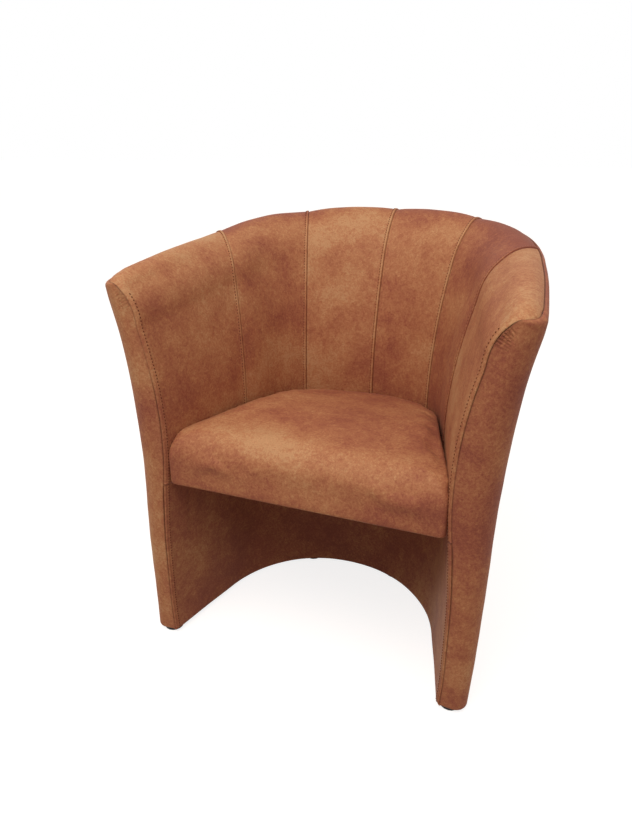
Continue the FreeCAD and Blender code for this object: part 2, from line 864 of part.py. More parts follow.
STUD_CLEAR = size("stud_clear")
HALF_STUD = size("board_thick") / 2


def stud(name, inner, outer, place, turn):
    """A stud from its inner edge (three points) and its outer edge: distance, height."""
    inner = [V(distance, height, 0.0) for distance, height in inner]
    outer = [V(distance, height, 0.0) for distance, height in outer]
    corners = [inner[0]] + outer + [inner[-1]]
    edges = [Part.LineSegment(start, end) for start, end in zip(corners, corners[1:])]
    body = board(name, "XZ_Plane", edges + [arc(*inner)], "board_thick", middle=True)
    body.Placement = FreeCAD.Placement(place, FreeCAD.Rotation(V(0, 0, 1), math.degrees(turn)))


def side_edge(rings, depth, behind):
    return [(level.moved(depth).arm_x(behind), level.height(behind)) for level in rings]


def rear_edge(rings, depth, angle, centre):
    edge = []
    for level in rings:
        distance = level.moved(depth).radial(angle, centre)[0]
        edge.append((distance, level.height(centre + distance * math.cos(angle))))
    return edge


def lowered(edge, amount):
    """The edge with its top brought down, so that the board's thickness clears the tilted rib."""
    return edge[:-1] + [(edge[-1][0], edge[-1][1] - amount)]


TOP_RIB = size("top_rib_level")
STOREYS = (
    ("lower_stud", LOWER_FRAME, 0.0,
     [between(LOWER_INSIDE, SOLE_TOP), LOWER_INSIDE[1], plane_cut(LOWER_INSIDE, SEAT_RIB, 0.0)],
     [plane_cut(OUTSIDE, SOLE_TOP, 0.0), OUTSIDE[1], plane_cut(OUTSIDE, SEAT_RIB, 0.0)]),
    ("upper_stud", UPPER_FRAME, TILT,
     [plane_cut(UPPER_INSIDE, LEDGE_TOP, 0.0), UPPER_INSIDE[1],
      plane_cut(UPPER_INSIDE, TOP_RIB, TILT)],
     [plane_cut(OUTSIDE, LEDGE_TOP, 0.0), OUTSIDE[2], OUTSIDE[3],
      plane_cut(OUTSIDE, TOP_RIB, TILT)]))
side_place = size("side_stud_place")
rear_turn = math.radians(size("rear_stud_angle"))
for name, depth, tilt, inside, outside in STOREYS:
    for hand, side in ((-1, "left"), (1, "right")):
        inner = side_edge(inside, depth + STUD_CLEAR, side_place - HALF_STUD)
        outer = side_edge(outside, -OUTER_FRAME - STUD_CLEAR, side_place + HALF_STUD)
        stud("%s_%s" % (name, side), inner, lowered(outer, 2 * tilt * HALF_STUD),
             flat(0.0, side_place), 0.0 if hand > 0 else math.pi)
    axis = inside[1].centre()
    for side, angle in (("rear_left", -rear_turn), ("rear", 0.0), ("rear_right", rear_turn)):
        slack = tilt * HALF_STUD * abs(math.sin(angle))
        inner = rear_edge(inside, depth + STUD_CLEAR, angle, axis)
        outer = rear_edge(outside, -OUTER_FRAME - STUD_CLEAR, angle, axis)
        stud("%s_%s" % (name, side), lowered(inner, slack), lowered(outer, slack),
             flat(0.0, axis), math.pi / 2 - angle)


# Seat: a frame with webbing, felt and foam, which lies on the ledge.

SEAT_BOTTOM = LEDGE_TOP + GAP
SIDE_GAP = size("arm_crown") + size("seat_side_gap")


def seat_line(inset):
    """The seat's outline in plan at a distance inside its side face: the channels' waist is the
    narrowest place that it has to pass."""
    line = Ring(size("seat_level"), size("waist_half"), size("waist_radius"), size("seat_depth"))
    line = line.moved(-SIDE_GAP - inset)
    line.depth -= size("back_crown") - size("arm_crown")
    return line


def d_edges(line, front):
    """A D-shaped outline: a straight front, two arms and a round back."""
    x, y = line.touch()
    ends = [flat(-x, y), flat(-line.arm_x(front), front), flat(line.arm_x(front), front), flat(x, y)]
    edges = [Part.LineSegment(start, end) for start, end in zip(ends, ends[1:])]
    return edges + [arc(ends[3], flat(0.0, line.depth), ends[0])]


def d_plate(line, front, bottom, thickness):
    wire = Part.Wire(Part.__sortEdges__([edge.toShape() for edge in d_edges(line, front)]))
    wire.translate(V(0, 0, bottom))
    return Part.Face(wire).extrude(V(0, 0, thickness))


frame_line = seat_line(size("seat_frame_inset"))
frame_front = size("seat_setback") + size("seat_frame_inset") + size("seat_corner")
inner_line = frame_line.moved(-size("seat_frame_width"))
FRAME_TOP = SEAT_BOTTOM + size("seat_frame_thick")
seat_frame = board("seat_frame", "XY_Plane",
                   d_edges(frame_line, frame_front)
                   + d_edges(inner_line, frame_front + size("seat_frame_width")),
                   "seat_frame_thick")
seat_frame.setExpression("Placement.Base.z",
                         "sizes.ledge_level + sizes.board_thick + 2 * sizes.layer_gap")

screw_line = ledge.moved(0.5 * (frame_line.half - ledge.half))
screw_behind = size("screw_front")
SCREW_SPOTS = mirrored([flat(screw_line.arm_x(screw_behind), screw_behind),
                        spot(screw_line, math.radians(size("screw_rear_angle")))])
holes(seat_rib, "screw_holes", SCREW_SPOTS, size("screw_dia") + HOLE_CLEAR)
holes(seat_frame, "pilot_holes", SCREW_SPOTS, size("screw_dia") + HOLE_CLEAR)


def beam(start, end, half_width, bottom, lengthwise):
    """A flat strap along Y or along X, between two places on its own line."""
    if lengthwise:
        low, far = V(start.x - half_width, start.y, bottom), (2 * half_width, end.y - start.y)
    else:
        low, far = V(start.x, start.y - half_width, bottom), (end.x - start.x, 2 * half_width)
    return Part.makeBox(far[0], far[1], size("webbing_thick"), low)


LENGTHWISE = 4
CROSSWISE = 3
strap_half = size("webbing_width") / 2
margin = size("webbing_margin")
pitch = size("webbing_pitch")
strap_line = frame_line.moved(-margin)
straps = []
for place in range(LENGTHWISE):
    x = (place - 0.5 * (LENGTHWISE - 1)) * pitch
    reach = math.sqrt(strap_line.radius ** 2 - (abs(x) + strap_half) ** 2)
    straps.append(beam(flat(x, frame_front + margin), flat(x, strap_line.centre() + reach),
                       strap_half, FRAME_TOP + GAP, True))
add_shape("webbing_lengthwise", Part.makeCompound(straps))
CROSS_BOTTOM = FRAME_TOP + 2 * GAP + size("webbing_thick")
straps = []
for place in range(CROSSWISE):
    behind = size("webbing_front") + place * pitch
    far = behind + strap_half
    if far > strap_line.touch()[1]:
        x = math.sqrt(strap_line.radius ** 2 - (far - strap_line.centre()) ** 2)
    else:
        x = strap_line.arm_x(far)
    straps.append(beam(flat(-x, behind), flat(x, behind), strap_half, CROSS_BOTTOM, False))
add_shape("webbing_crosswise", Part.makeCompound(straps))

FELT_BOTTOM = CROSS_BOTTOM + size("webbing_thick") + GAP
add_shape("seat_felt", d_plate(strap_line, frame_front + margin, FELT_BOTTOM, size("felt_thick")))
dust_line = ledge.moved(-HOLE_CLEAR)
add_shape("dust_cover", d_plate(dust_line, frame_front, SEAT_BOTTOM - GAP - size("dust_thick"),
                                size("dust_thick")))

# The cushion: sections across the seat from the rounded front to the back. Each has drawn-in
# sides and a crowned top.

NOSE_STEPS = 4
CROWN_STEPS = 6
LENGTH_STEPS = 3
ROUND_STEPS = 5
ROUND_START = math.radians(10.0)
ROUND_END = math.radians(80.0)


def seat_half(line, behind):
    touch_y = line.touch()[1]
    if behind <= touch_y:
        return line.arm_x(behind)
    return math.sqrt(line.radius ** 2 - (behind - line.centre()) ** 2)


def seat_section(inset, behind, top, corner, bottom):
    half = seat_half(seat_line(inset), behind) - corner
    shoulder = top - size("seat_side_drop") * min(1.0, half / seat_line(inset).half)
    tuck = size("seat_tuck")
    waist = 0.5 * (bottom + shoulder)
    crown = arc_steps((half - tuck, shoulder), (0.0, top), (tuck - half, shoulder), CROWN_STEPS)
    outline = [(tuck - half, bottom), (half - tuck, bottom), (half, waist)]
    outline += crown + [(-half, waist)]
    return [V(x, FRONT + behind, height) for x, height in outline]


def seat_block(inset, bottom):
    """The cushion's solid at a depth under its surface."""
    nose = size("seat_nose")
    front = size("seat_setback")
    rise = size("seat_crown_top") - size("seat_front_top")
    sections = []
    for turn in spread(0.0, math.pi / 2, NOSE_STEPS):
        behind = front + nose - (nose - inset) * math.cos(turn)
        top = size("seat_front_top") + rise * math.sin(turn) - inset
        corner = size("seat_corner") * (1.0 - math.sin(turn))
        sections.append(seat_section(inset, behind, top, corner, bottom))
    line = seat_line(inset)
    crest = front + nose
    round_part = [line.centre() + line.radius * math.sin(turn)
                  for turn in spread(ROUND_START, ROUND_END, ROUND_STEPS)]
    for behind in spread(crest, round_part[0], LENGTH_STEPS)[1:] + round_part[1:]:
        share = (behind - crest) / (line.depth - crest)
        top = size("seat_crown_top") - inset
        top -= (size("seat_crown_top") - size("seat_rear_top")) * share ** 2
        sections.append(seat_section(inset, behind, top, 0.0, bottom))
    return loft(sections)


cover_inner = seat_block(COVER, SEAT_BOTTOM - COVER)
add_shape("seat_cover", seat_block(0.0, SEAT_BOTTOM).cut(cover_inner))
core_top = FELT_BOTTOM + size("felt_thick") + GAP
core = d_plate(frame_line.moved(GAP), frame_front - GAP, SEAT_BOTTOM - COVER,
               core_top - SEAT_BOTTOM + COVER)
add_shape("seat_foam", seat_block(COVER + GAP, SEAT_BOTTOM).cut(core))


# Fasteners and glides

def turned(name, outline, places, sides):
    """Copies of one round piece in narrow flat sides, from half its outline: distances from
    the axis, and heights."""
    faces = []
    turns = spread(0.0, 2.0 * math.pi, sides)
    for (near, low), (far, high) in zip(outline, outline[1:] + outline[:1]):
        for turn, after in zip(turns, turns[1:]):
            corners = [V(near * math.cos(turn), near * math.sin(turn), low)]
            corners.append(V(far * math.cos(turn), far * math.sin(turn), high))
            if far > 0.0:
                corners.append(V(far * math.cos(after), far * math.sin(after), high))
            if near > 0.0:
                corners.append(V(near * math.cos(after), near * math.sin(after), low))
            if near > 0.0 or far > 0.0:
                faces.append(Part.Face(closed(corners)))
    shell = Part.Shell(faces)
    shell.sewShape()
    piece = outward(Part.Solid(shell))
    copies = []
    for where in places:
        copy = piece.copy()
        copy.translate(where)
        copies.append(copy)
    return add_shape(name, Part.makeCompound(copies))


GLIDE_SIDES = 16
NAIL_SIDES = 8
ROUNDING_STEPS = 2


screw_low = -size("screw_head_high")
screw_high = size("board_thick") + GAP + size("screw_bite")
shank = size("screw_dia") / 2
turned("seat_screws", [(0.0, screw_low), (size("screw_head_dia") / 2, screw_low),
                       (size("screw_head_dia") / 2, 0.0), (shank, 0.0), (shank, screw_high - shank),
                       (0.0, screw_high)],
       [where + V(0, 0, SEAT_RIB) for where in SCREW_SPOTS], NAIL_SIDES)

glide_high = size("foot_level")
bore = size("nail_dia") / 2 + GAP
recess = size("nail_head_dia") / 2 + GAP
seat_of_nail = size("nail_sink") + size("nail_head_high")
rounding = size("glide_round")
glide_radius = size("glide_dia") / 2
glide_edges = [(recess, 0.0), (glide_radius - rounding, 0.0)]
glide_edges += [(glide_radius - rounding + rounding * math.sin(turn),
                 rounding - rounding * math.cos(turn))
                for turn in spread(0.0, math.pi / 2, ROUNDING_STEPS)[1:]]
glide_edges += [(glide_radius, glide_high), (bore, glide_high), (bore, seat_of_nail),
                (recess, seat_of_nail)]
GLIDES = FRONT_GLIDES + REAR_GLIDES
turned("glides", glide_edges, GLIDES, GLIDE_SIDES)
nail = size("nail_dia") / 2
head = size("nail_head_dia") / 2
sink = size("nail_sink")
tip = sink + size("nail_length")
turned("glide_nails", [(0.0, sink), (head, sink), (head, seat_of_nail), (nail, seat_of_nail),
                       (nail, tip - head), (0.0, tip)], GLIDES, NAIL_SIDES)

# Nail holes in the front posts. The ribs' holes are in their sketches.

for post in pieces:
    if post.Label.startswith("front_post"):
        for where in FRONT_GLIDES:
            post.Shape = post.Shape.cut(Part.makeCylinder(bore, tip + GAP, where))

doc.recompute()

# Every piece is checked before any file is written.

for item in doc.Objects:
    for fault in ("Invalid", "Error"):
        if fault in item.State:
            raise ValueError("%s is %s" % (item.Label, fault))
for piece in pieces:
    if piece.Shape.isNull() or not piece.Shape.isValid():
        raise ValueError("%s has no valid shape" % piece.Label)
os.makedirs("parts", exist_ok=True)
for piece in pieces:
    piece.Shape.exportStep("parts/%s.step" % piece.Label)
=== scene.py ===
import math
import bpy
import numpy as np
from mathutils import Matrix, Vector


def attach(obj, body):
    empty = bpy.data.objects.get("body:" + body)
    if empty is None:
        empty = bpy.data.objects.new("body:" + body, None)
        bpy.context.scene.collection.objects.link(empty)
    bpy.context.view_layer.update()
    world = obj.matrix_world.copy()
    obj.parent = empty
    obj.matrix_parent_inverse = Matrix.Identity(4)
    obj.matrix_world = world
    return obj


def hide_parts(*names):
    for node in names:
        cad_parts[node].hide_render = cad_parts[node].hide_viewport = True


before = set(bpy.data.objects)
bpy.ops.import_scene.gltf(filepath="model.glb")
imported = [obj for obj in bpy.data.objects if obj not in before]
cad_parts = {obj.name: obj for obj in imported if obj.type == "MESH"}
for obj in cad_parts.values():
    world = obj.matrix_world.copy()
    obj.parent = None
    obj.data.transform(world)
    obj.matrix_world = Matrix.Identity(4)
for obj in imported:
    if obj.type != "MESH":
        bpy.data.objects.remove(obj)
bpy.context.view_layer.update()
print("frame loaded:", len(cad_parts), "nodes")


# camera, where the photograph was taken from
photoCamera = {
    "place": (0.33982, -1.13061, 0.88841),
    "turn": (66.4508, -0.2508, 20.5456),
    "lens": 27.105,
    "sensor": 36.0,
}
cameraData = bpy.data.cameras.new("photoCamera")
cameraData.lens = photoCamera["lens"]
cameraData.sensor_width = photoCamera["sensor"]
camera = bpy.data.objects.new("photoCamera", cameraData)
camera.location = photoCamera["place"]
camera.rotation_euler = [math.radians(turn) for turn in photoCamera["turn"]]
bpy.context.scene.collection.objects.link(camera)
bpy.context.scene.camera = camera


# the tub's own measures, in metres
tub = {
    "front": -0.3085,          # plane of the arms' fronts
    "rimRise": 0.072,          # the rim climbs this much from front to back
    "innerSeam": 19.0,         # channel seams, degrees from straight back
    "outerSeam": 41.5,
    "panelSeam": 35.0,         # seam between the outside back and the sides
    "pull": 0.0105,            # the rim is drawn in where the arm meets the back
    "pullAt": 0.35,            # most at this distance behind the front
    "pullReach": 0.12,
    "pullFrom": 0.610,         # level where the outside starts to be drawn in
    "liftFrom": 0.58,          # and where it starts to climb to the top seam
}
# level rings: height at the front, half width at the front, radius of the round back, depth
insideLow = [(0.008, 0.255, 0.221, 0.333), (0.165, 0.262, 0.218, 0.379),
             (0.3194, 0.255, 0.206, 0.437)]
insideWall = [(0.338, 0.252, 0.188, 0.448), (0.474, 0.248, 0.184, 0.451),
              (0.618, 0.272, 0.216, 0.498)]
insideRoll = [(0.659, 0.282, 0.229, 0.531), (0.6765, 0.2945, 0.250, 0.556),
              (0.687, 0.314, 0.286, 0.590)]
# the same for the outside, with the rounding of the arm's front corner
outsideRings = [(0.008, 0.3080, 0.270, 0.382, 0.020), (0.185, 0.3155, 0.270, 0.441, 0.031),
                (0.412, 0.3190, 0.276, 0.520, 0.046), (0.577, 0.3278, 0.299, 0.579, 0.042),
                (0.682, 0.3440, 0.334, 0.617, 0.034)]
sideways = math.pi / 2 - 1e-4      # angle of the arm's front, a hair short of a right angle
topSeam = {
    "inset": 0.0090,           # the seam lies this far inside the outer edge
    "cornerInset": 0.0112,     # and this far where it rounds the arm's front corner
    "cornerReach": 0.022,      # behind the corner the one goes over into the other
    "climb": 0.045,            # from the front it climbs to the rim within this distance
    "frontInset": 0.0018,      # depth of the groove on the arm's front
    "rise": 0.0030,            # above the rim's own level
    "frontHeight": 0.6865,     # height of its end on the arm's front
}
crestForm = {
    "back": 0.0022,            # the crest stands this far above its ring at the back
    "side": 0.0018,            # this much more at the sides
    "arm": 0.0022,             # and more again along the arms
    "front": 0.0030,           # but this far in all at the arm's front
    "frontReach": 0.060,
    "sideTurn": 0.35,          # it grows over this angle from the middle of the back, in radians
    "armTurn": 0.70,           # and again from this angle on
}
sectionSteps = {"wall": 70, "brow": 18, "roll": 26, "softened": 6}


def bell(distance, width=0.0009):
    # a bell curve, 1 in its middle
    return np.exp(-(distance / width) ** 2)


def smoothStep(value):
    # from 0 to 1, level at both ends: three times the square less twice the cube
    share = np.clip(value, 0.0, 1.0)
    return share * share * (3.0 - 2.0 * share)


def ringSlope(level, depth):
    # a ring's tilt: none at the seat's underside, growing evenly up to the rim's
    share = (level - insideWall[0][0]) / (outsideRings[-1][0] - insideWall[0][0])
    return tub["rimRise"] * np.maximum(share, 0.0) / depth


def ringTouch(half, radius, depth):
    # where the straight arm touches the round back: x, and distance behind the front
    centre = depth - radius
    turn = np.arccos(radius / np.hypot(half, centre)) - np.arctan2(centre, half)
    return radius * np.cos(turn), centre + radius * np.sin(turn)


def ringReach(ring, angle):
    # distance from the middle of the front to the U, at an angle from straight back:
    # to the arm's straight line, or to the circle of the back
    half, radius, depth = ring[1:4]
    across, back = np.abs(np.sin(angle)), np.cos(angle)
    touchX, touchY = ringTouch(half, radius, depth)
    lean = (half - touchX) / touchY
    centre = depth - radius
    middle = centre * back
    circle = middle + np.sqrt(np.maximum(middle ** 2 - centre ** 2 + radius ** 2, 0.0))
    return np.where(across * touchY >= back * touchX, half / (across + lean * back), circle)


def rimPull(behind):
    # how far the rim is drawn in, most where arm and back meet
    return tub["pull"] * bell(behind - tub["pullAt"], tub["pullReach"])


def eased(marks, values, where):
    # a smooth curve through the rings' values: cubic pieces with slopes taken across neighbours
    marks, values = np.asarray(marks), np.asarray(values)
    step = np.diff(values) / np.diff(marks)
    slope = np.concatenate([step[:1], 0.5 * (step[1:] + step[:-1]), step[-1:]])
    index = np.clip(np.searchsorted(marks, where) - 1, 0, len(marks) - 2)
    width = marks[index + 1] - marks[index]
    t = (where - marks[index]) / width
    return ((2 * t ** 3 - 3 * t ** 2 + 1) * values[index] + (t ** 3 - 2 * t ** 2 + t) * width
            * slope[index] + (3 * t ** 2 - 2 * t ** 3) * values[index + 1]
            + (t ** 3 - t ** 2) * width * slope[index + 1])


def outsideAt(levels):
    # half width, radius, depth and corner of the outside at any level
    marks = [ring[0] for ring in outsideRings]
    return [eased(marks, [ring[item] for ring in outsideRings], levels) for item in (1, 2, 3, 4)]


def backTurnAt(radius, depth, angle):
    # turn about the back's own centre, for a point seen at an angle from the front's middle
    centre = depth - radius
    middle = centre * math.cos(angle)
    distance = middle + np.sqrt(middle ** 2 - centre ** 2 + radius ** 2)
    return np.arctan2(distance * math.cos(angle) - centre, distance * math.sin(angle))


def outerPlan(levels, cornerTurns, armShares, backShares, endAngle):
    # the outside wall in plan, a row for each level: round the front corner, along the straight
    # arm and into the round back. Gives x, distance behind the front, and the normal's x and y
    half, radius, depth, corner = [item[:, None] for item in outsideAt(levels)]
    touchX, touchY = ringTouch(half, radius, depth)
    lean = (half - touchX) / touchY
    slant = np.hypot(1.0, lean)
    centre = depth - radius
    arm = corner + (touchY - corner) * armShares
    first = np.arctan2(touchY - centre, touchX)
    turn = first + (backTurnAt(radius, depth, endAngle) - first) * backShares
    x = [half - lean * corner - corner + corner * np.sin(cornerTurns), half - lean * arm,
         radius * np.cos(turn)]
    behind = [corner * (1.0 - np.cos(cornerTurns)), arm, centre + radius * np.sin(turn)]
    normalX = [np.sin(cornerTurns) + 0.0 * corner, 1.0 / slant + 0.0 * arm, np.cos(turn)]
    normalY = [-np.cos(cornerTurns) + 0.0 * corner, lean / slant + 0.0 * arm, np.sin(turn)]
    return [np.concatenate(item, axis=1) for item in (x, behind, normalX, normalY)]


def seamInset(turns, behind):
    # grows with the sine of the turn round the corner, then goes over to the inset of the arm
    start, middle, end = [topSeam[key] for key in ("frontInset", "cornerInset", "inset")]
    share = smoothStep((behind[len(turns):] - behind[len(turns) - 1]) / topSeam["cornerReach"])
    return np.concatenate([start + (middle - start) * np.sin(turns),
                           middle + (end - middle) * share])


def climbFromFront(behind):
    return smoothStep((behind - topSeam["frontInset"]) / topSeam["climb"])


def topHeight(behind, blend):
    # height of the outer top seam: its end on the front, blended into the rim's tilted plane
    rim = outsideRings[-1]
    height = rim[0] + ringSlope(rim[0], rim[3]) * behind + topSeam["rise"]
    return topSeam["frontHeight"] + (height - topSeam["frontHeight"]) * blend


def rimRow():
    # the outer top seam from the middle of the back to the arm's front: angle, distance, height
    turns = np.linspace(0.0, math.pi / 2, 60)
    shares = np.linspace(0.0, 1.0, 80)[1:]
    level = np.array([outsideRings[-1][0]])
    x, behind, normalX, normalY = outerPlan(level, turns, shares, shares, 0.0)
    inset = seamInset(turns, behind[0]) + rimPull(behind[0])
    x, behind = x[0] - normalX[0] * inset, behind[0] - normalY[0] * inset
    height = topHeight(behind, climbFromFront(behind))
    return np.arctan2(x, behind)[::-1], np.hypot(x, behind)[::-1], height[::-1]


def arcThrough(first, middle, last, steps):
    # circle arcs through three points each, rows of (distance, height), in equal steps
    a, b = middle - first, last - first
    cross = 2.0 * (a[:, 0] * b[:, 1] - a[:, 1] * b[:, 0])
    aa, bb = (a ** 2).sum(1), (b ** 2).sum(1)
    x = (b[:, 1] * aa - a[:, 1] * bb) / cross
    y = (a[:, 0] * bb - b[:, 0] * aa) / cross
    start = np.arctan2(-y, -x)
    sweep = np.arctan2(b[:, 1] - y, b[:, 0] - x) - start
    sweep = np.where(cross > 0, sweep % (2 * np.pi), -(-sweep % (2 * np.pi)))
    turn = start[:, None] + sweep[:, None] * np.linspace(0.0, 1.0, steps + 1)
    radius = np.hypot(x, y)[:, None]
    return np.stack([first[:, :1] + x[:, None] + radius * np.cos(turn),
                     first[:, 1:] + y[:, None] + radius * np.sin(turn)], axis=2)


def ringPoints(ring, angle):
    # distance and height of a tilted ring in the upright plane at each angle
    reach = ringReach(ring, angle)
    return np.stack([reach, ring[0] + ringSlope(ring[0], ring[3]) * reach * np.cos(angle)], 1)


def wallSections(angle, rings, steps):
    # one arc up the wall through three rings
    return arcThrough(*[ringPoints(ring, angle) for ring in rings], steps)


def rollSections(angle):
    # up the wall in one arc, over the brow in a second, over the crest to the rim in a third
    form = crestForm
    wall = wallSections(angle, insideWall, sectionSteps["wall"])
    upper, brow, crest = [ringPoints(ring, angle) for ring in insideRoll]
    rimAngle, rimDistance, rimHeight = rimRow()
    reach = np.interp(angle, rimAngle, rimDistance)
    height = np.interp(angle, rimAngle, rimHeight)
    crestReach = np.minimum(crest[:, 0], 0.5 * (brow[:, 0] + reach))
    share = (crestReach - brow[:, 0]) / (crest[:, 0] - brow[:, 0])
    dome = form["back"] + form["side"] * smoothStep(angle / form["sideTurn"])
    dome = dome + form["arm"] * smoothStep((angle - form["armTurn"]) / form["sideTurn"])
    toFront = reach * np.cos(angle)
    dome = form["front"] + (dome - form["front"]) * smoothStep(toFront / form["frontReach"])
    crestHeight = brow[:, 1] + (crest[:, 1] - brow[:, 1]) * share + dome
    crest = np.stack([crestReach, crestHeight], 1)
    rim = np.stack([reach, height], 1)
    face = np.concatenate([wall, arcThrough(wall[:, -1], upper, brow, sectionSteps["brow"])[:, 1:],
                           arcThrough(brow, crest, rim, sectionSteps["roll"])[:, 1:]], axis=1)
    for step in range(sectionSteps["softened"]):      # softens the joins of the arcs
        face[:, 1:-1] = 0.25 * face[:, :-2] + 0.5 * face[:, 1:-1] + 0.25 * face[:, 2:]
    return face


def sectionNormals(face):
    # square to the section's line, towards the sitter and up
    step = np.gradient(face, axis=1)
    step = step / np.maximum(np.linalg.norm(step, axis=2, keepdims=True), 1e-9)
    return np.stack([-step[:, :, 1], step[:, :, 0]], axis=2)


def inPlace(angle, hand, points):
    # (distance, height) in each upright plane, to x, y, z
    distance, height = points[:, :, 0], points[:, :, 1]
    return np.stack([hand * distance * np.sin(angle)[:, None],
                     tub["front"] + distance * np.cos(angle)[:, None], height], axis=2)


def ripple(points, scale, seed):
    # smooth unevenness between -1 and 1: products of sines along turned directions
    rng = np.random.default_rng(seed)
    total = 0.0
    for octave in range(5):
        direction = rng.normal(size=3)
        direction *= scale * rng.uniform(0.7, 1.5) / np.linalg.norm(direction)
        other = rng.normal(size=3)
        other *= scale * rng.uniform(0.7, 1.5) / np.linalg.norm(other)
        total = total + (np.sin(points @ direction + rng.uniform(0, 6.3))
                         * np.sin(points @ other + rng.uniform(0, 6.3)))
    return total / 2.5


def uneven(points, height, scale, seed):
    # wide unevenness of the padding, with a finer one of the cover on it
    return height * ripple(points, scale, seed[0]) + 0.0003 * ripple(points, 60.0, seed[1])


def seamSpaced(width, spacing):
    # shares from 0 to 1, close together by both seams
    near = np.array([0.0, 0.0003, 0.0008, 0.0014, 0.0022, 0.0032, 0.0044, 0.0052, 0.0058, 0.0066,
                     0.0078, 0.0095]) / width
    middle = np.linspace(near[-1], 1.0 - near[-1], max(int(width / spacing), 4))
    return np.concatenate([near[:-1], middle, 1.0 - near[:-1][::-1]])


def seamDip(distance, reach, depth):
    # a quarter circle that turns down into the seam
    share = np.clip(1.0 - distance / reach, 0.0, 1.0)
    return -depth * (1.0 - np.sqrt(np.maximum(1.0 - share ** 2, 0.0)))


def overEdge(below, inset):
    # how far inwards the rounded top edge has gone, for a point this far below the seam
    gone = np.minimum(below, inset)
    return np.sqrt(gone * (2.0 * inset - gone))


def lineLength(line):
    # distance along a line, or along each of several, up to every point
    step = np.linalg.norm(np.diff(line, axis=-2), axis=-1)
    return np.concatenate([np.zeros_like(step[..., :1]), np.cumsum(step, axis=-1)], axis=-1)


def pointsAt(line, length, marks):
    # the line's points at some distances along it
    return np.stack([np.interp(marks, length, line[:, item]) for item in range(line.shape[1])], 1)


def alongLine(line, shares):
    length = lineLength(line)
    return pointsAt(line, length, shares * length[-1])


def linkMesh(name, points, faces, smooth=True):
    mesh = bpy.data.meshes.new(name)
    mesh.from_pydata(points.tolist(), [], faces)
    mesh.update()
    mesh.polygons.foreach_set("use_smooth", np.full(len(mesh.polygons), smooth))
    piece = bpy.data.objects.new(name, mesh)
    bpy.context.scene.collection.objects.link(piece)
    return piece


def keepValues(piece, name, values):
    layer = piece.data.attributes.new(name, "FLOAT", "POINT")
    layer.data.foreach_set("value", np.asarray(values, dtype=np.float32))


def closedSheet(name, front, back, shade, tone):
    # a closed skin: a grid, the grid behind it, and the four edges between them, every face
    # turned round where the signed volume is negative
    rows, columns = front.shape[:2]
    points = np.concatenate([front.reshape(-1, 3), back.reshape(-1, 3)])
    index = np.arange(rows * columns).reshape(rows, columns)
    behind = index + rows * columns
    quads = [np.stack([index[:-1, :-1], index[1:, :-1], index[1:, 1:], index[:-1, 1:]], 2),
             np.stack([behind[:-1, :-1], behind[:-1, 1:], behind[1:, 1:], behind[1:, :-1]], 2)]
    quads = [grid.reshape(-1, 4) for grid in quads]
    rim = np.concatenate([index[:, 0], index[-1, 1:], index[-2::-1, -1], index[0, -2:0:-1]])
    far = rim + rows * columns
    quads.append(np.stack([rim, far, np.roll(far, -1), np.roll(rim, -1)], 1)[:, ::-1])
    faces = np.concatenate(quads)
    a, b, c, d = [points[faces[:, item]] for item in range(4)]
    volume = np.einsum("ij,ij->i", a, np.cross(b, c)).sum()
    volume += np.einsum("ij,ij->i", a, np.cross(c, d)).sum()
    if volume < 0:
        faces = faces[:, ::-1]
    piece = linkMesh(name, points, faces.tolist())
    keepValues(piece, "seamShade", np.concatenate([shade.ravel(), 0.0 * shade.ravel()]))
    tone = np.broadcast_to(tone, front.shape[:2]).ravel()
    keepValues(piece, "toneAndPaintedLight", np.concatenate([tone, tone]))
    return piece


def ringMesh(name, rings, poles):
    # rings from one pole to the other, closed at both by a fan of triangles
    rows, columns = rings.shape[:2]
    index = np.arange(rows * columns).reshape(rows, columns)
    after = np.roll(index, -1, axis=1)
    quads = np.stack([index[:-1], after[:-1], after[1:], index[1:]], 2).reshape(-1, 4)
    pole = np.full(columns, rows * columns)
    fans = np.concatenate([np.stack([pole, after[0], index[0]], 1),
                           np.stack([pole + 1, index[-1], after[-1]], 1)])
    points = np.concatenate([rings.reshape(-1, 3), poles])
    return linkMesh(name, points, quads.tolist() + fans.tolist())


def finishPiece(piece, material, nodes):
    piece.data.materials.append(material)
    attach(piece, "root")
    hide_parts(*nodes)


# materials
def newMaterial(name, roughness):
    material = bpy.data.materials.new(name)
    material.use_nodes = True
    shader = material.node_tree.nodes["Principled BSDF"]
    shader.inputs["Roughness"].default_value = roughness
    return material, material.node_tree, shader


def feed(tree, socket, value):
    # a socket takes a link, a number, a vector or a colour
    if isinstance(value, bpy.types.NodeSocket):
        tree.links.new(value, socket)
    elif socket.type == "RGBA":
        socket.default_value = (*value, 1.0)
    else:
        socket.default_value = value


def addNode(tree, kind, **settings):
    # feeds the sockets that are named, and sets what is no socket
    node = tree.nodes.new(kind)
    for key, value in settings.items():
        if key in node.inputs:
            feed(tree, node.inputs[key], value)
        else:
            setattr(node, key, value)
    return node


def fedInOrder(tree, node, *values):
    # feeds the sockets in use one after the other, and gives the output in use
    sockets = [socket for socket in node.inputs if socket.enabled]
    for socket, value in zip(sockets, values):
        feed(tree, socket, value)
    return [socket for socket in node.outputs if socket.enabled][0]


def mathNode(tree, operation, *values):
    return fedInOrder(tree, addNode(tree, "ShaderNodeMath", operation=operation), *values)


def mixColours(tree, factor, first, second, blend="MIX"):
    node = addNode(tree, "ShaderNodeMix", data_type="RGBA", blend_type=blend)
    return fedInOrder(tree, node, factor, first, second)


def objectPlace(tree):
    return tree.nodes.new("ShaderNodeTexCoord").outputs["Object"]


def keptValue(tree, name):
    return addNode(tree, "ShaderNodeAttribute", attribute_name=name).outputs["Fac"]


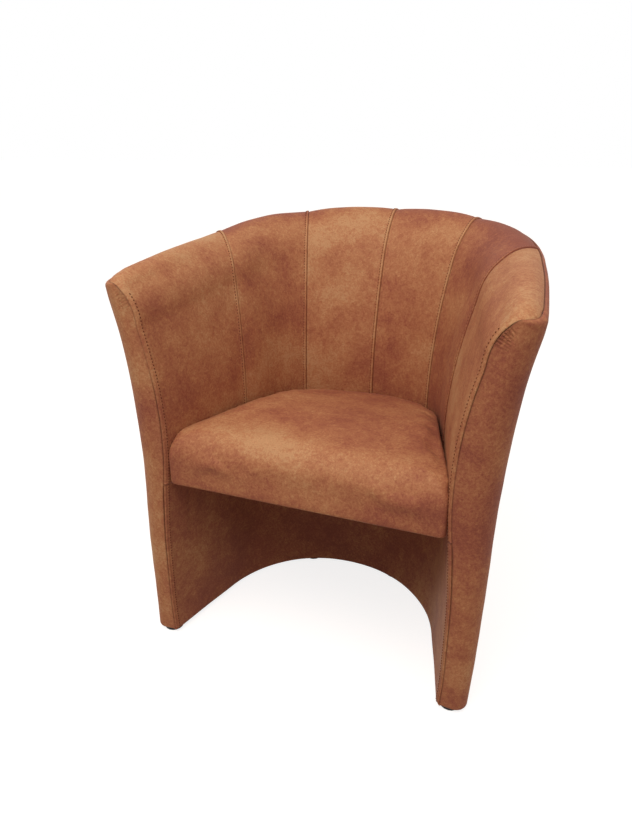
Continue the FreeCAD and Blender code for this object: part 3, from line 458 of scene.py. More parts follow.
def colourRamp(tree, source, stops):
    ramp = addNode(tree, "ShaderNodeValToRGB", Fac=source)
    while len(ramp.color_ramp.elements) < len(stops):
        ramp.color_ramp.elements.new(0.5)
    for element, (place, colour) in zip(ramp.color_ramp.elements, stops):
        element.position = place
        element.color = (*colour, 1.0)
    return ramp.outputs["Color"]


def noiseOn(tree, place, scale, detail, roughness, distortion, output="Fac"):
    return addNode(tree, "ShaderNodeTexNoise", Vector=place, Scale=scale, Detail=detail,
                   Roughness=roughness, Distortion=distortion).outputs[output]


def addBump(tree, shader, height, strength, distance, **before):
    bump = addNode(tree, "ShaderNodeBump", Height=height, Strength=strength, Distance=distance,
                   **before)
    feed(tree, shader.inputs["Normal"], bump.outputs["Normal"])
    return bump.outputs["Normal"]


suede = {
    "crease": (0.075, 0.021, 0.012),       # painted shade: the colour the suede is darkened to down in the seams, where their grooves lie in shade
    "tones": [(0.39, (0.240, 0.066, 0.038)), (0.45, (0.303, 0.093, 0.047)),
              (0.50, (0.368, 0.132, 0.059)), (0.55, (0.425, 0.175, 0.076)),
              (0.61, (0.480, 0.240, 0.110))],
    # scale, detail, roughness and distortion of each noise, and its share in the tones
    "cloud": ((4.5, 2.0, 0.5, 0.2), 0.30),
    "patch": ((14.0, 4.0, 0.60, 0.3), 0.24),
    "fleck": ((115.0, 5.0, 0.66, 0.8), 0.24),
    "grain": ((300.0, 3.0, 0.65, 0.3), 0.22),
    "nub": (620.0, 3.0, 0.65, 0.2),
    "ownTone": 0.045,          # what a step of the kept tone adds to the shares: the panels' own tones, with painted light and shade
    "veinShare": 0.6,
    "veinScale": 150.0,
    "veinBend": ((40.0, 3.0, 0.5, 0.0), 0.02),
    "veins": [(0.0, (1.16, 1.18, 1.20)), (0.05, (1.03, 1.03, 1.03)), (0.16, (1.0, 1.0, 1.0))],
    "napShare": 0.9,
    "nap": [(0.30, (0.86, 0.85, 0.84)), (0.52, (1.0, 1.0, 1.0)), (0.72, (1.12, 1.13, 1.14))],
    "napBump": (0.35, 0.0005),       # strength and depth
    "fleckBump": (0.30, 0.0010),
    "roughness": 0.64,
    "shader": {"Sheen Weight": 0.03, "Sheen Roughness": 0.5, "Sheen Tint": (1.0, 0.72, 0.50),
               "Specular IOR Level": 0.14},
}


def suedeMaterial():
    # brushed suede: wide soft clouds, smaller patches, fine flecks, pale veins and a short nap
    material, tree, shader = newMaterial("suedeCover", suede["roughness"])
    place = objectPlace(tree)
    noises = {key: noiseOn(tree, place, *suede[key][0])
              for key in ("cloud", "patch", "fleck", "grain")}
    nub = noiseOn(tree, place, *suede["nub"])
    total = 0.0
    for key, noise in noises.items():
        total = mathNode(tree, "MULTIPLY_ADD", noise, suede[key][1], total)
    # the kept tone holds the panels' own tones together with painted highlights, painted light and
    # painted shade
    total = mathNode(tree, "MULTIPLY_ADD", keptValue(tree, "toneAndPaintedLight"), suede["ownTone"], total)
    noise, share = suede["veinBend"]
    bent = mixColours(tree, share, place, noiseOn(tree, place, *noise, "Color"))
    veins = addNode(tree, "ShaderNodeTexVoronoi", feature="DISTANCE_TO_EDGE", Vector=bent,
                    Scale=suede["veinScale"])
    lines = colourRamp(tree, veins.outputs["Distance"], suede["veins"])
    nap = colourRamp(tree, nub, suede["nap"])
    colour = colourRamp(tree, total, suede["tones"])
    colour = mixColours(tree, suede["veinShare"], colour, lines, "MULTIPLY")
    colour = mixColours(tree, suede["napShare"], colour, nap, "MULTIPLY")
    # painted shade: the colour is darkened towards the crease colour where the kept seam shade says
    colour = mixColours(tree, keptValue(tree, "seamShade"), colour, suede["crease"])
    feed(tree, shader.inputs["Base Color"], colour)
    for key, value in suede["shader"].items():
        feed(tree, shader.inputs[key], value)
    fine = addBump(tree, shader, nub, *suede["napBump"])
    addBump(tree, shader, noises["fleck"], *suede["fleckBump"], Normal=fine)
    return material


def plainMaterial(name, colours, roughness, scale, bump, metallic=0.0, stretch=None,
                  specular=0.5):
    # two or three tones mixed by one noise, which may be drawn out along an axis
    material, tree, shader = newMaterial(name, roughness)
    place = objectPlace(tree)
    if stretch:
        place = addNode(tree, "ShaderNodeMapping", Vector=place, Scale=stretch).outputs["Vector"]
    noise = noiseOn(tree, place, scale, 5.0, 0.6, 0.4)
    stops = [(0.3 + 0.4 * index / (len(colours) - 1), colour)
             for index, colour in enumerate(colours)]
    feed(tree, shader.inputs["Base Color"], colourRamp(tree, noise, stops))
    shader.inputs["Metallic"].default_value = metallic
    shader.inputs["Specular IOR Level"].default_value = specular
    addBump(tree, shader, noise, 0.3, bump)
    return material


def wovenMaterial(name, colours, pitch, roughness=0.85):
    # two crossing sets of threads: waves along X and along Y, multiplied
    material, tree, shader = newMaterial(name, roughness)
    place = objectPlace(tree)
    waves = [addNode(tree, "ShaderNodeTexWave", wave_type="BANDS", bands_direction=direction,
                     Vector=place, Scale=0.314 / pitch, Distortion=0.4).outputs["Fac"]
             for direction in ("X", "Y")]
    weave = mathNode(tree, "MULTIPLY", *waves)
    stops = [(0.0, colours[0]), (0.6, colours[1])]
    feed(tree, shader.inputs["Base Color"], colourRamp(tree, weave, stops))
    addBump(tree, shader, weave, 0.4, 0.0004)
    return material


suedeCover = suedeMaterial()
# the thread's own dark brown, darkened further as painted shade of the stitch holes around it
threadMaterial = plainMaterial("stitchThread", [(0.095, 0.026, 0.014), (0.16, 0.047, 0.024)], 0.8,
                               900.0, 0.0001, specular=0.05)
beechWood = plainMaterial("beechWood", [(0.36, 0.20, 0.10), (0.52, 0.33, 0.19), (0.44, 0.26, 0.14)],
                          0.55, 60.0, 0.0004, stretch=(1.0, 0.12, 0.12))
hardBoard = plainMaterial("hardBoard", [(0.10, 0.055, 0.03), (0.19, 0.115, 0.065)], 0.7, 300.0,
                          0.0003)
blackPlastic = plainMaterial("blackPlastic", [(0.011, 0.011, 0.012), (0.022, 0.022, 0.023)], 0.38,
                             420.0, 0.00008, specular=0.15)
nailSteel = plainMaterial("nailSteel", [(0.40, 0.40, 0.41), (0.62, 0.62, 0.63)], 0.34, 700.0,
                          0.00005, metallic=1.0)
webbingWeave = wovenMaterial("webbingWeave", [(0.12, 0.10, 0.075), (0.33, 0.28, 0.20)], 0.0016)
dustWeave = wovenMaterial("dustWeave", [(0.012, 0.012, 0.013), (0.045, 0.044, 0.044)], 0.0011)
feltGrey = plainMaterial("feltGrey", [(0.20, 0.20, 0.19), (0.42, 0.41, 0.39)], 0.95, 500.0, 0.0005)
print("materials made")


# channels of the inside back
channelForm = {
    "backCrown": (0.0055, 2.4),      # height between the seams, and how full the crown is
    "armCrown": (0.0042, 2.6),
    "edgeRound": 0.0050,             # rounding of the arm's inner front edge
    "thick": 0.006,
    "stripWidth": 0.165,             # widest distance between two seams
    "armWidth": 0.42,
    "spacing": 0.0042,
    "ridge": 0.0022,                 # the seam's folded edge lifts the cover
    "ridgeEnd": (0.0044, 0.0030),    # as far as this, and sinks within that
    "stitchLine": 0.0055,
    "groove": (0.0008, 0.0009),      # depth and width of the groove under the thread
    "foldedDip": (0.0014, 0.0036),   # reach and depth of the turn down into the seam
    "turnedDip": (0.0024, 0.0014),
    "rimDip": (0.0015, 0.0012),
    "pucker": (0.0003, 0.0115),      # height and pitch of the puckers along the seams
    "puckerReach": 0.010,
    "gather": (0.0006, 0.0062),      # and of the gathers by the rim, near the arm's front
    "gatherReach": 0.011,
    "gatherSpan": (0.035, 0.135),    # behind the front
    "endReach": 0.020,               # the turned front edge runs out this near the rim
    "hiddenBehind": 0.004,           # the cover's hidden side stays this far behind the front
    "highlightBeside": (0.5, 0.0024, 0.0010),     # painted highlights: paler lines by a seam and on its folded edge, where the fold catches the light: tone, distance from the seam, width
    "highlightFold": (1.3, 0.0031, 0.0013),       # edge: tone, distance from the seam, width
    # painted shade at its darkest, as a multiple of the seam's, where the arm's edge turns into the
    # front seam
    "darkest": 1.4,
}
channelTone = {"left_arm": 0.0, "left_side": 0.2, "left_centre": 1.1, "right_centre": 0.3,
               "right_side": -1.1, "right_arm": 0.6}
rimLightAndShade = {"arm": 0.9, "back": -1.8, "from": 0.090, "over": 0.06}      # painted light on the arms' tops and painted shade on the back's brow, added towards the rim
seamPaintedShade = 0.29                # painted shade: how far the suede's colour is darkened at a seam, for the shade in its groove
stitchForm = {
    "pitch": 0.0057,
    "length": 0.0032,
    "width": 0.00105,
    "sides": 6,
    "steps": (-0.5, -0.3, 0.0, 0.3, 0.5),              # shares of the length
    "girth": (0.25, 0.9, 1.0, 0.9, 0.25),              # shares of the width
    "bow": (-0.0007, 0.0, 0.0003, 0.0, -0.0007),       # out of the cover
    "frontLine": 0.0062,       # distance of the arm's row behind the front
    "frontTop": 0.676,         # height where that row ends
}
stitchRows = []
edgeRound = channelForm["edgeRound"]
grooveDepth = topSeam["frontInset"]
innerSeam, outerSeam = math.radians(tub["innerSeam"]), math.radians(tub["outerSeam"])
armEnd = math.pi / 2 - math.atan(edgeRound / insideWall[0][1])


def foldedEdge(distance):
    # raised from the seam to the row of stitches, with a small groove under the thread
    end, fall = channelForm["ridgeEnd"]
    depth, width = channelForm["groove"]
    ridge = channelForm["ridge"] * (1.0 - smoothStep((distance - end) / fall))
    groove = -depth * bell(distance - channelForm["stitchLine"], width)
    return ridge + groove + seamDip(distance, *channelForm["foldedDip"])


def turnedEdge(distance):
    return seamDip(distance, *channelForm["turnedDip"])


def crownEnd(toRim):
    # the crown falls within 30 mm of the rim, to a sixth of its height
    return smoothStep(toRim / 0.040 + 0.25)


def edgeTurn():
    # round the arm's inner front edge: a quarter circle on to the front, then into the seam.
    # Gives for each step how far behind the front, and how far sunk
    turn = np.linspace(0.0, math.pi / 2, 10)[1:]
    behind = edgeRound * (1.0 - np.sin(turn)) + 0.0003
    sunk = (edgeRound - 0.0012) * (1.0 - np.cos(turn))
    behind = np.concatenate([behind, [0.0004, 0.0008, 0.0013, grooveDepth]])
    sunk = np.concatenate([sunk, edgeRound + np.array([-0.0008, -0.0004, -0.0001, 0.0])])
    return behind, sunk


def withTurn(plain):
    # a wall's plain sections, then those that turn round the edge: angle, how far behind the
    # front (less than 0 where plain) and how far sunk
    behind, sunk = edgeTurn()
    return (np.concatenate([plain, np.full(len(behind), sideways)]),
            np.concatenate([np.full(len(plain), -1.0), behind]),
            np.concatenate([np.zeros(len(plain)), sunk]))


def buildChannel(strip, hand, angles, low, high, behindFront, sunk):
    # the wall's section in every upright plane, moved square to its line: out by a crown that
    # is highest midway between the seams, with a folded edge at one seam and a turned edge at
    # the other; the arm's last sections turn round the front edge
    form = channelForm
    isArm = strip.endswith("arm")
    foldedLow = hand < 0       # the folded edges lie to the viewer's left
    turned = behindFront >= 0.0
    face = rollSections(angles)
    normals = sectionNormals(face)
    flat = inPlace(angles, hand, face)
    length = lineLength(face)
    toRim = length[:, -1:] - length
    ending = smoothStep(toRim / form["endReach"])
    fromLow = face[:, :, 0] * np.abs(angles - low)[:, None]
    toHigh = face[:, :, 0] * np.abs(high - angles)[:, None]
    folded = fromLow if foldedLow else toHigh
    nearest = fromLow if isArm else np.minimum(fromLow, toHigh)

    share = np.clip((angles - low) / (high - low), 0.0, 1.0)
    crown, fullness = form["armCrown" if isArm else "backCrown"]
    hollow = 1.0 - share if isArm else np.abs(2.0 * share - 1.0)
    lift = crown * (1.0 - hollow ** fullness)[:, None] * crownEnd(toRim) - sunk[:, None]
    lift[turned] *= ending[turned]
    lift = lift + (foldedEdge(fromLow) if foldedLow else turnedEdge(fromLow))
    if not isArm:
        lift = lift + (turnedEdge(toHigh) if foldedLow else foldedEdge(toHigh))
    lift = lift + seamDip(toRim, *form["rimDip"])
    height, pitch = form["pucker"]
    pucker = height * np.exp(-nearest / form["puckerReach"]) * np.sin(
        flat[:, :, 2] * 2 * np.pi / pitch + 2.0 * ripple(flat, 30.0, 5))
    lift = lift + pucker * smoothStep(toRim / 0.03) * smoothStep(nearest / 0.006)
    lift = lift + uneven(flat, 0.0007, 22.0, (11, 12)) * smoothStep(nearest / 0.02) * smoothStep(
        toRim / 0.02)
    if isArm:      # short gathers across the outer top seam
        behind = flat[:, :, 1] - tub["front"]
        height, pitch = form["gather"]
        start, end = form["gatherSpan"]
        window = smoothStep((behind - start) / 0.02) * smoothStep((end - behind) / 0.03)
        window = window * np.exp(-toRim / form["gatherReach"]) * smoothStep(toRim / 0.003)
        lift = lift + height * window * np.sin(
            behind * 2 * np.pi / pitch + 1.6 * ripple(flat, 40.0, 8))

    grids = []
    for offset in (lift, np.minimum(lift, 0.0) - form["thick"]):
        grid = inPlace(angles, hand, face + normals * offset[:, :, None])
        grid[turned, :, 1] = tub["front"] + grooveDepth + ending[turned] * (
            behindFront[turned][:, None] - grooveDepth)
        grids.append(grid)
    if isArm:      # the back of the last sections stays inside the arm
        grids[1][:, :, 1] = np.maximum(grids[1][:, :, 1], tub["front"] + form["hiddenBehind"])

    # painted shade in the grooves: along the seams, along the rim seam and on the arm's edge
    # turning into the front seam
    darkest = form["darkest"] * seamPaintedShade
    shade = seamPaintedShade * (bell(fromLow) + 0.8 * bell(toRim))
    if isArm:
        shade[turned] = darkest * np.linspace(0.0, 1.0, turned.sum())[:, None] ** 4
    else:
        shade = shade + seamPaintedShade * bell(toHigh)
    # painted highlights: paler lines beside a seam and along its folded edge, where the fold
    # catches the light
    paleHighlight, distance, width = form["highlightBeside"]
    tone = channelTone[strip] + paleHighlight * bell(nearest - distance, width)
    if foldedLow or not isArm:
        paleHighlight, distance, width = form["highlightFold"]
        tone = tone + paleHighlight * bell(folded - distance, width)
    # painted light on the arms' tops and painted shade on the back's brow, towards the rim
    tone = tone + rimLightAndShade["arm" if isArm else "back"] * smoothStep(
        (rimLightAndShade["from"] - toRim) / rimLightAndShade["over"])
    piece = closedSheet("channel_" + strip, *grids, np.minimum(shade, darkest), tone)
    finishPiece(piece, suedeCover, ["inner_cover_" + strip, "channel_pad_" + strip])
    return grids[0], folded


def rowAt(grid, distance, wanted):
    # the line on a grid where the distance from a seam has one value, for every column
    order = np.argsort(distance, axis=0)
    near = np.take_along_axis(distance, order, axis=0)
    index = np.clip((near < wanted).sum(axis=0), 1, len(near) - 1)
    columns = np.arange(grid.shape[1])
    first, second = order[index - 1, columns], order[index, columns]
    a, b = distance[first, columns], distance[second, columns]
    share = ((wanted - a) / np.where(np.abs(b - a) < 1e-9, 1.0, b - a))[:, None]
    return grid[first, columns] * (1.0 - share) + grid[second, columns] * share


def addStitchRow(points, outward):
    # keeps the middles of the stitches along a line, with their directions and the way out
    length = lineLength(points)
    marks = np.arange(0.5 * stitchForm["pitch"], length[-1], stitchForm["pitch"])
    place = pointsAt(points, length, marks)
    direction = pointsAt(points, length, marks + 0.001) - pointsAt(points, length, marks - 0.001)
    direction /= np.linalg.norm(direction, axis=1, keepdims=True)
    way = pointsAt(outward, length, marks)
    way -= direction * (way * direction).sum(1, keepdims=True)
    size = np.linalg.norm(way, axis=1, keepdims=True)
    good = size[:, 0] > 1e-3       # a way out is missing where the grid closes up
    stitchRows.append((place[good], direction[good], way[good] / size[good]))


def stitchAlong(grid, normals, distance, wanted, top=math.inf):
    # a row of stitches at one distance from a seam, up to a height
    row = rowAt(grid, distance, wanted)
    below = row[:, 2] < top
    addStitchRow(row[below], rowAt(normals, distance, wanted)[below])


def gridNormals(grid):
    # square to the grid, on the side of a sitter's head
    normal = np.cross(np.gradient(grid, axis=0), np.gradient(grid, axis=1))
    normal /= np.maximum(np.linalg.norm(normal, axis=2, keepdims=True), 1e-12)
    towards = np.array([0.0, -0.1, 1.2]) - grid
    return normal * np.where((normal * towards).sum(2, keepdims=True) < 0.0, -1.0, 1.0)


def buildChannels(hand, side):
    # half of the back: the centre and side strips with a row of stitches each, then the arm's
    # strip, with a row along its front and on the left one beside the seam
    form = channelForm
    for place, low, high in (("centre", 0.0, innerSeam), ("side", innerSeam, outerSeam)):
        angles = low + (high - low) * seamSpaced(form["stripWidth"], form["spacing"])
        plain = np.full(len(angles), -1.0)
        grid, folded = buildChannel(side + "_" + place, hand, angles, low, high, plain,
                                    0.0 * plain)
        stitchAlong(grid, gridNormals(grid), folded, form["stitchLine"])
    shares = seamSpaced(form["armWidth"], form["spacing"])[:-11]
    angles, behind, sunk = withTurn(np.append(outerSeam + (armEnd - outerSeam) * shares, armEnd))
    grid, folded = buildChannel(side + "_arm", hand, angles, outerSeam, armEnd, behind, sunk)
    normals = gridNormals(grid)
    if hand < 0:
        stitchAlong(grid, normals, folded, form["stitchLine"])
    plain = behind < 0.0
    stitchAlong(grid[plain], normals[plain], grid[plain][:, :, 1] - tub["front"],
                stitchForm["frontLine"], stitchForm["frontTop"])


for hand, side in ((-1, "left"), (1, "right")):
    buildChannels(hand, side)
print("channels made")


# lower inside, from the floor to the seat
lowerForm = {
    "thick": 0.004,
    "steps": 60,
    "columns": 110,
    "tone": -0.5,
    "floorDip": (0.004, 0.003),
    "joinFrom": 0.058,         # this near the front it goes up and in to meet the arm's cover
    "joinRise": 0.0186,
    "joinStep": 0.003,
}


def lowCrown(height):
    return channelForm["armCrown"][0] * smoothStep((height - 0.01) / 0.15)


def buildLowerCover():
    # one arc up the wall in every plane from arm to arm, turned round at both front edges
    form = lowerForm
    halves = withTurn(np.linspace(0.0, armEnd, form["columns"]))
    angles, behind, sunk = [np.concatenate([sign * item[:0:-1], item])
                            for sign, item in zip((-1, 1, 1), halves)]
    turned = behind >= 0.0
    face = wallSections(angles, insideLow, form["steps"])
    normals = sectionNormals(face)
    floorLevel = insideLow[0][0]
    fromFront = face[:, -1, 0] * np.cos(angles)
    join = smoothStep((form["joinFrom"] - fromFront) / 0.010)[:, None] * np.linspace(
        0.0, 1.0, form["steps"] + 1) ** 3
    share = np.clip((np.abs(angles) - outerSeam) / (armEnd - outerSeam), 0.0, 1.0)
    flat = inPlace(np.abs(angles), 1.0, face)
    lift = uneven(flat, 0.0005, 22.0, (31, 32)) * smoothStep(fromFront / 0.03)[:, None]
    fullness = channelForm["armCrown"][1]
    lift = lift + lowCrown(face[:, :, 1]) * (1.0 - (1.0 - share) ** fullness)[:, None]
    lift = lift - sunk[:, None] + seamDip(face[:, :, 1] - floorLevel, *form["floorDip"])
    grids = []
    for offset in (lift, lift - form["thick"]):
        moved = face + normals * offset[:, :, None]
        moved[:, :, 0] -= form["joinStep"] * join
        moved[:, :, 1] = np.maximum(moved[:, :, 1] + form["joinRise"] * join, floorLevel)
        grid = inPlace(angles, 1.0, moved)
        grid[turned, :, 1] = tub["front"] + behind[turned][:, None]
        grids.append(grid)
    grids[1][:, :, 1] = np.maximum(grids[1][:, :, 1],
                                   tub["front"] + channelForm["hiddenBehind"])
    # painted shade in the groove of the arm's front seam, on both turned edges
    shade = seamPaintedShade * bell(behind - grooveDepth, 0.0006)[:, None] * turned[:, None]
    piece = closedSheet("lower_inside_cover", *grids, shade + np.zeros_like(lift), form["tone"])
    finishPiece(piece, suedeCover, ["lower_cover", "lower_fleece"])

    front = grids[0]
    middle = len(front) // 2
    for part in (front[:middle], front[middle:]):
        part = part[part[:, -1, 1] > tub["front"] + edgeRound]
        row = rowAt(part, part[:, :, 1] - tub["front"], stitchForm["frontLine"])
        addStitchRow(row, np.ones_like(row) * np.array([-np.sign(row[0, 0]), 0.0, 0.0]))


buildLowerCover()
print("lower inside made")


# outside: front band, corner and side in one piece on each hand, and the back
outerForm = {
    "thick": 0.005,
    "bulge": 0.0016,                     # the panels stand out between their seams
    "frontDip": 0.0022,                  # reach of the turn into the seam on the arm's front
    "panelDip": (0.003, 0.0022),         # reach and depth beside the back panel's seams
    "floorDip": (0.004, 0.0032),
    "bandWidth": 0.05,                   # widest the front face gets
    "bandSpacing": 0.0024,
    "arcLength": 0.25,                   # of a side's part in the round back
    "backWidth": 0.42,
    "backSpacing": 0.006,
    "browHeight": 0.652,                 # above this the front's inner seam is its top seam
    "gatherHeight": (0.0006, 0.0010),    # gathers under the front's top seam, left and right
    "gatherPitch": 0.0050,
    "gatherReach": 0.024,
    "gatherSpan": (0.010, 0.054),        # along the seam from the corner
}
outerTone = {"left": 0.1, "right": -0.8, "back": -0.15}
rimLevel = outsideRings[-1][0]
outerLevels = np.concatenate([
    np.linspace(outsideRings[0][0], 0.016, 7)[:-1], np.linspace(0.016, tub["pullFrom"], 96),
    rimLevel - (rimLevel - tub["pullFrom"]) * (1.0 - np.linspace(0.0, 1.0, 62)[1:]) ** 1.4])


def frontSeamLine():
    # the seam on the arm's front: the inside wall's section in the front plane, moved by the
    # cover's crown and by the turn of the edge, from the floor over the brow to the corner
    angle = np.array([sideways])
    low = wallSections(angle, insideLow, 40)
    low = (low + sectionNormals(low) * (lowCrown(low[:, :, 1:]) - edgeRound))[0]
    high = rollSections(angle)
    length = lineLength(high[0])
    toRim = length[-1] - length
    move = channelForm["armCrown"][0] * crownEnd(toRim) - edgeRound
    move = move * smoothStep(toRim / channelForm["endReach"])
    high = (high + sectionNormals(high) * move[None, :, None])[0]
    return np.concatenate([low, high])


def toLine(line, across, height):
    # distance from points of the front plane to a line, and how far along it they are
    length = lineLength(line)
    dense = np.linspace(0.0, length[-1], 700)
    near = pointsAt(line, length, dense)
    gap = np.hypot(across[:, :, None] - near[:, 0], height[:, :, None] - near[:, 1])
    return gap.min(axis=2), dense[gap.argmin(axis=2)]


def nearRim(start):
    # grows from 0 at a level to 1 at the rim, for every ring
    return smoothStep((outerLevels - start) / (rimLevel - start))[:, None]


def frontBand(line, cornerX):
    # the arm's front face: the patch between floor, inner seam, top seam and corner
    levels = outerLevels
    share = (levels - levels[0]) / (rimLevel - levels[0])
    brow = int(np.argmax(line[:, 1] > outerForm["browHeight"]))
    across = seamSpaced(outerForm["bandWidth"], outerForm["bandSpacing"])
    inner = alongLine(line[:brow + 1], share)
    top = alongLine(line[brow:], across)
    drop = (rimLevel - top[-1, 1]) * nearRim(tub["liftFrom"])[:, 0]
    outer = np.stack([cornerX, levels - drop], 1)
    floor = inner[0] + across[:, None] * (outer[0] - inner[0])
    u, v = across[None, :, None], share[:, None, None]
    return ((1 - v) * floor[None] + v * top[None] + (1 - u) * inner[:, None] + u * outer[:, None]
            - (1 - u) * (1 - v) * inner[0] - u * (1 - v) * outer[0]
            - (1 - u) * v * inner[-1] - u * v * outer[-1])


def finishedRings(x, behind, normalX, normalY, blend):
    # level rings in their tilted planes, brought to the top seam's height and drawn in
    depth = outsideAt(outerLevels)[2]
    height = outerLevels[:, None] + ringSlope(outerLevels, depth)[:, None] * behind
    ownRim = rimLevel + ringSlope(rimLevel, depth[-1]) * behind
    height = height + (topHeight(behind, blend) - ownRim) * nearRim(tub["liftFrom"])
    pull = rimPull(behind) * nearRim(tub["pullFrom"])
    return x - normalX * pull, behind - normalY * pull, height


def outerSheet(name, side, hand, places, normals, gaps, inset, rounded, gathers, seeds, darkest):
    # a panel lies on its rings, stands out between its seams and turns down into them
    form = outerForm
    x, behind, height = places
    toPanel, toFront = gaps
    levels = outerLevels[:, None] + np.zeros_like(x)
    toTop = rimLevel - levels
    flat = np.stack([x, tub["front"] + behind, height], 2)
    nearest = np.minimum(np.minimum(toTop, toPanel), toFront)
    lift = form["bulge"] * smoothStep(nearest / 0.03)
    lift += uneven(flat, 0.0008, 18.0, seeds) * smoothStep(nearest / 0.02)
    lift += rounded * seamDip(toTop, inset, inset)
    lift += seamDip(toFront, form["frontDip"], grooveDepth)
    lift += seamDip(toPanel, *form["panelDip"]) + gathers
    lift += seamDip(levels - outerLevels[0], *form["floorDip"])
    normal = np.stack([*normals, np.zeros_like(x)], 2)
    front = flat + normal * lift[:, :, None]
    back = flat + normal * (np.minimum(lift, 0.0) - form["thick"])[:, :, None]
    for grid in (front, back):
        grid[:, :, 0] *= hand
    # painted shade in the seams' grooves: beside the front seam, under the rounded top edge and by
    # the panel seams
    shade = 1.7 * bell(toFront, 0.0015) + 0.7 * bell(overEdge(toTop, inset))
    shade = seamPaintedShade * np.minimum(shade + bell(toPanel), darkest)
    piece = closedSheet(name, front, back, shade, outerTone[side])
    nodes = ["outer_cover_" + side, "outer_wadding_" + side]
    if side != "back":
        nodes.append("front_foam_" + side)
    finishPiece(piece, suedeCover, nodes)


def buildOuterSide(hand, side):
    # rows run over the front face, round the corner, along the straight arm and into the back
    form = outerForm
    half, radius, depth, corner = outsideAt(outerLevels)
    touchX, touchY = ringTouch(half, radius, depth)
    line = frontSeamLine()
    band = frontBand(line, half - (half - touchX) * corner / touchY - corner)
    turns = np.linspace(0.0, math.pi / 2, 20)[1:]
    backShares = np.concatenate([np.linspace(0.0, 1.0, 48)[1:-1], [0.985, 0.992, 0.997, 1.0]])
    x, behind, normalX, normalY = outerPlan(outerLevels, turns, np.linspace(0.0, 1.0, 44)[1:],
                                            backShares, math.radians(tub["panelSeam"]))
    inset = seamInset(turns, behind[-1])
    seamBehind = behind[-1] - normalY[-1] * (inset + rimPull(behind[-1]))
    rings = finishedRings(x, behind, normalX, normalY, climbFromFront(seamBehind))
    flatBand = np.zeros(band.shape[:2])
    places = [np.concatenate(item, axis=1) for item in zip(
        (band[:, :, 0], flatBand, band[:, :, 1]), rings)]
    normals = [np.concatenate(item, axis=1) for item in (
        (flatBand, normalX), (flatBand - 1.0, normalY))]

    columns = band.shape[1]
    toSeam, along = toLine(line, band[:, :, 0], band[:, :, 1])
    toPanel, toFront, gathers = [np.full_like(places[0], value) for value in (1.0, 1.0, 0.0)]
    toPanel[:, -len(backShares):] = (1.0 - backShares) * form["arcLength"]
    toFront[:, :columns] = toSeam
    toCorner = along.max() - along
    start, end = form["gatherSpan"]
    window = smoothStep((toCorner - start) / 0.010) * smoothStep((end - toCorner) / 0.014)
    window = window * bell(toSeam, form["gatherReach"]) * smoothStep(toSeam / 0.002)
    gathers[:, :columns] = form["gatherHeight"][hand > 0] * window * np.sin(
        2 * np.pi * (along + 0.0012 * hand) / form["gatherPitch"])
    inset = np.concatenate([np.full(columns, grooveDepth), inset])
    rounded = np.arange(len(inset)) >= columns
    outerSheet("outer_side_" + side, side, hand, places, normals, (toPanel, toFront), inset,
               rounded, gathers, (41 + hand, 42), 1.7)


def buildOuterBack():
    # rows run round the back between the two side seams
    radius, depth = outsideAt(outerLevels)[1:3]
    last = backTurnAt(radius, depth, math.radians(tub["panelSeam"]))
    share = seamSpaced(outerForm["backWidth"], outerForm["backSpacing"])
    turn = last[:, None] + (math.pi - 2 * last)[:, None] * share
    normals = (np.cos(turn), np.sin(turn))
    places = finishedRings(radius[:, None] * normals[0],
                           (depth - radius)[:, None] + radius[:, None] * normals[1], *normals, 1.0)
    toPanel = np.minimum(share, 1.0 - share) * outerForm["backWidth"] + np.zeros_like(turn)
    outerSheet("outer_back", "back", 1, places, normals, (toPanel, np.ones_like(turn)),
               topSeam["inset"], True, 0.0, (51, 52), 1.0)


for hand, side in ((-1, "left"), (1, "right")):
    buildOuterSide(hand, side)
buildOuterBack()
print("outside made")


# top stitching
def buildStitches():
    # each stitch is a short thick thread: rings round a line that bows out of the cover
    form = stitchForm
    place, direction, way = [np.concatenate(item) for item in zip(*stitchRows)]
    steps, girth, bow = [np.array(form[key]) for key in ("steps", "girth", "bow")]
    count, sides = len(place), form["sides"]
    beside = np.cross(direction, way)
    turn = np.linspace(0.0, 2 * np.pi, sides, endpoint=False)
    middle = (place[:, None] + direction[:, None] * (steps * form["length"])[:, None]
              + way[:, None] * bow[:, None])
    ring = (way[:, None, None] * np.cos(turn)[:, None] + beside[:, None, None]
            * np.sin(turn)[:, None]) * (girth * form["width"])[:, None, None]
    points = (middle[:, :, None] + ring).reshape(-1, 3)
    index = np.arange(len(points)).reshape(count, len(steps), sides)
    following = np.roll(index, -1, axis=2)
    quads = np.stack([following[:, :-1], following[:, 1:], index[:, 1:], index[:, :-1]], 3)
    ends = np.concatenate([index[:, 0], index[:, -1, ::-1]])
    piece = linkMesh("top_stitching", points, quads.reshape(-1, 4).tolist() + ends.tolist())
    finishPiece(piece, threadMaterial, [])
    print("stitches:", count)


buildStitches()


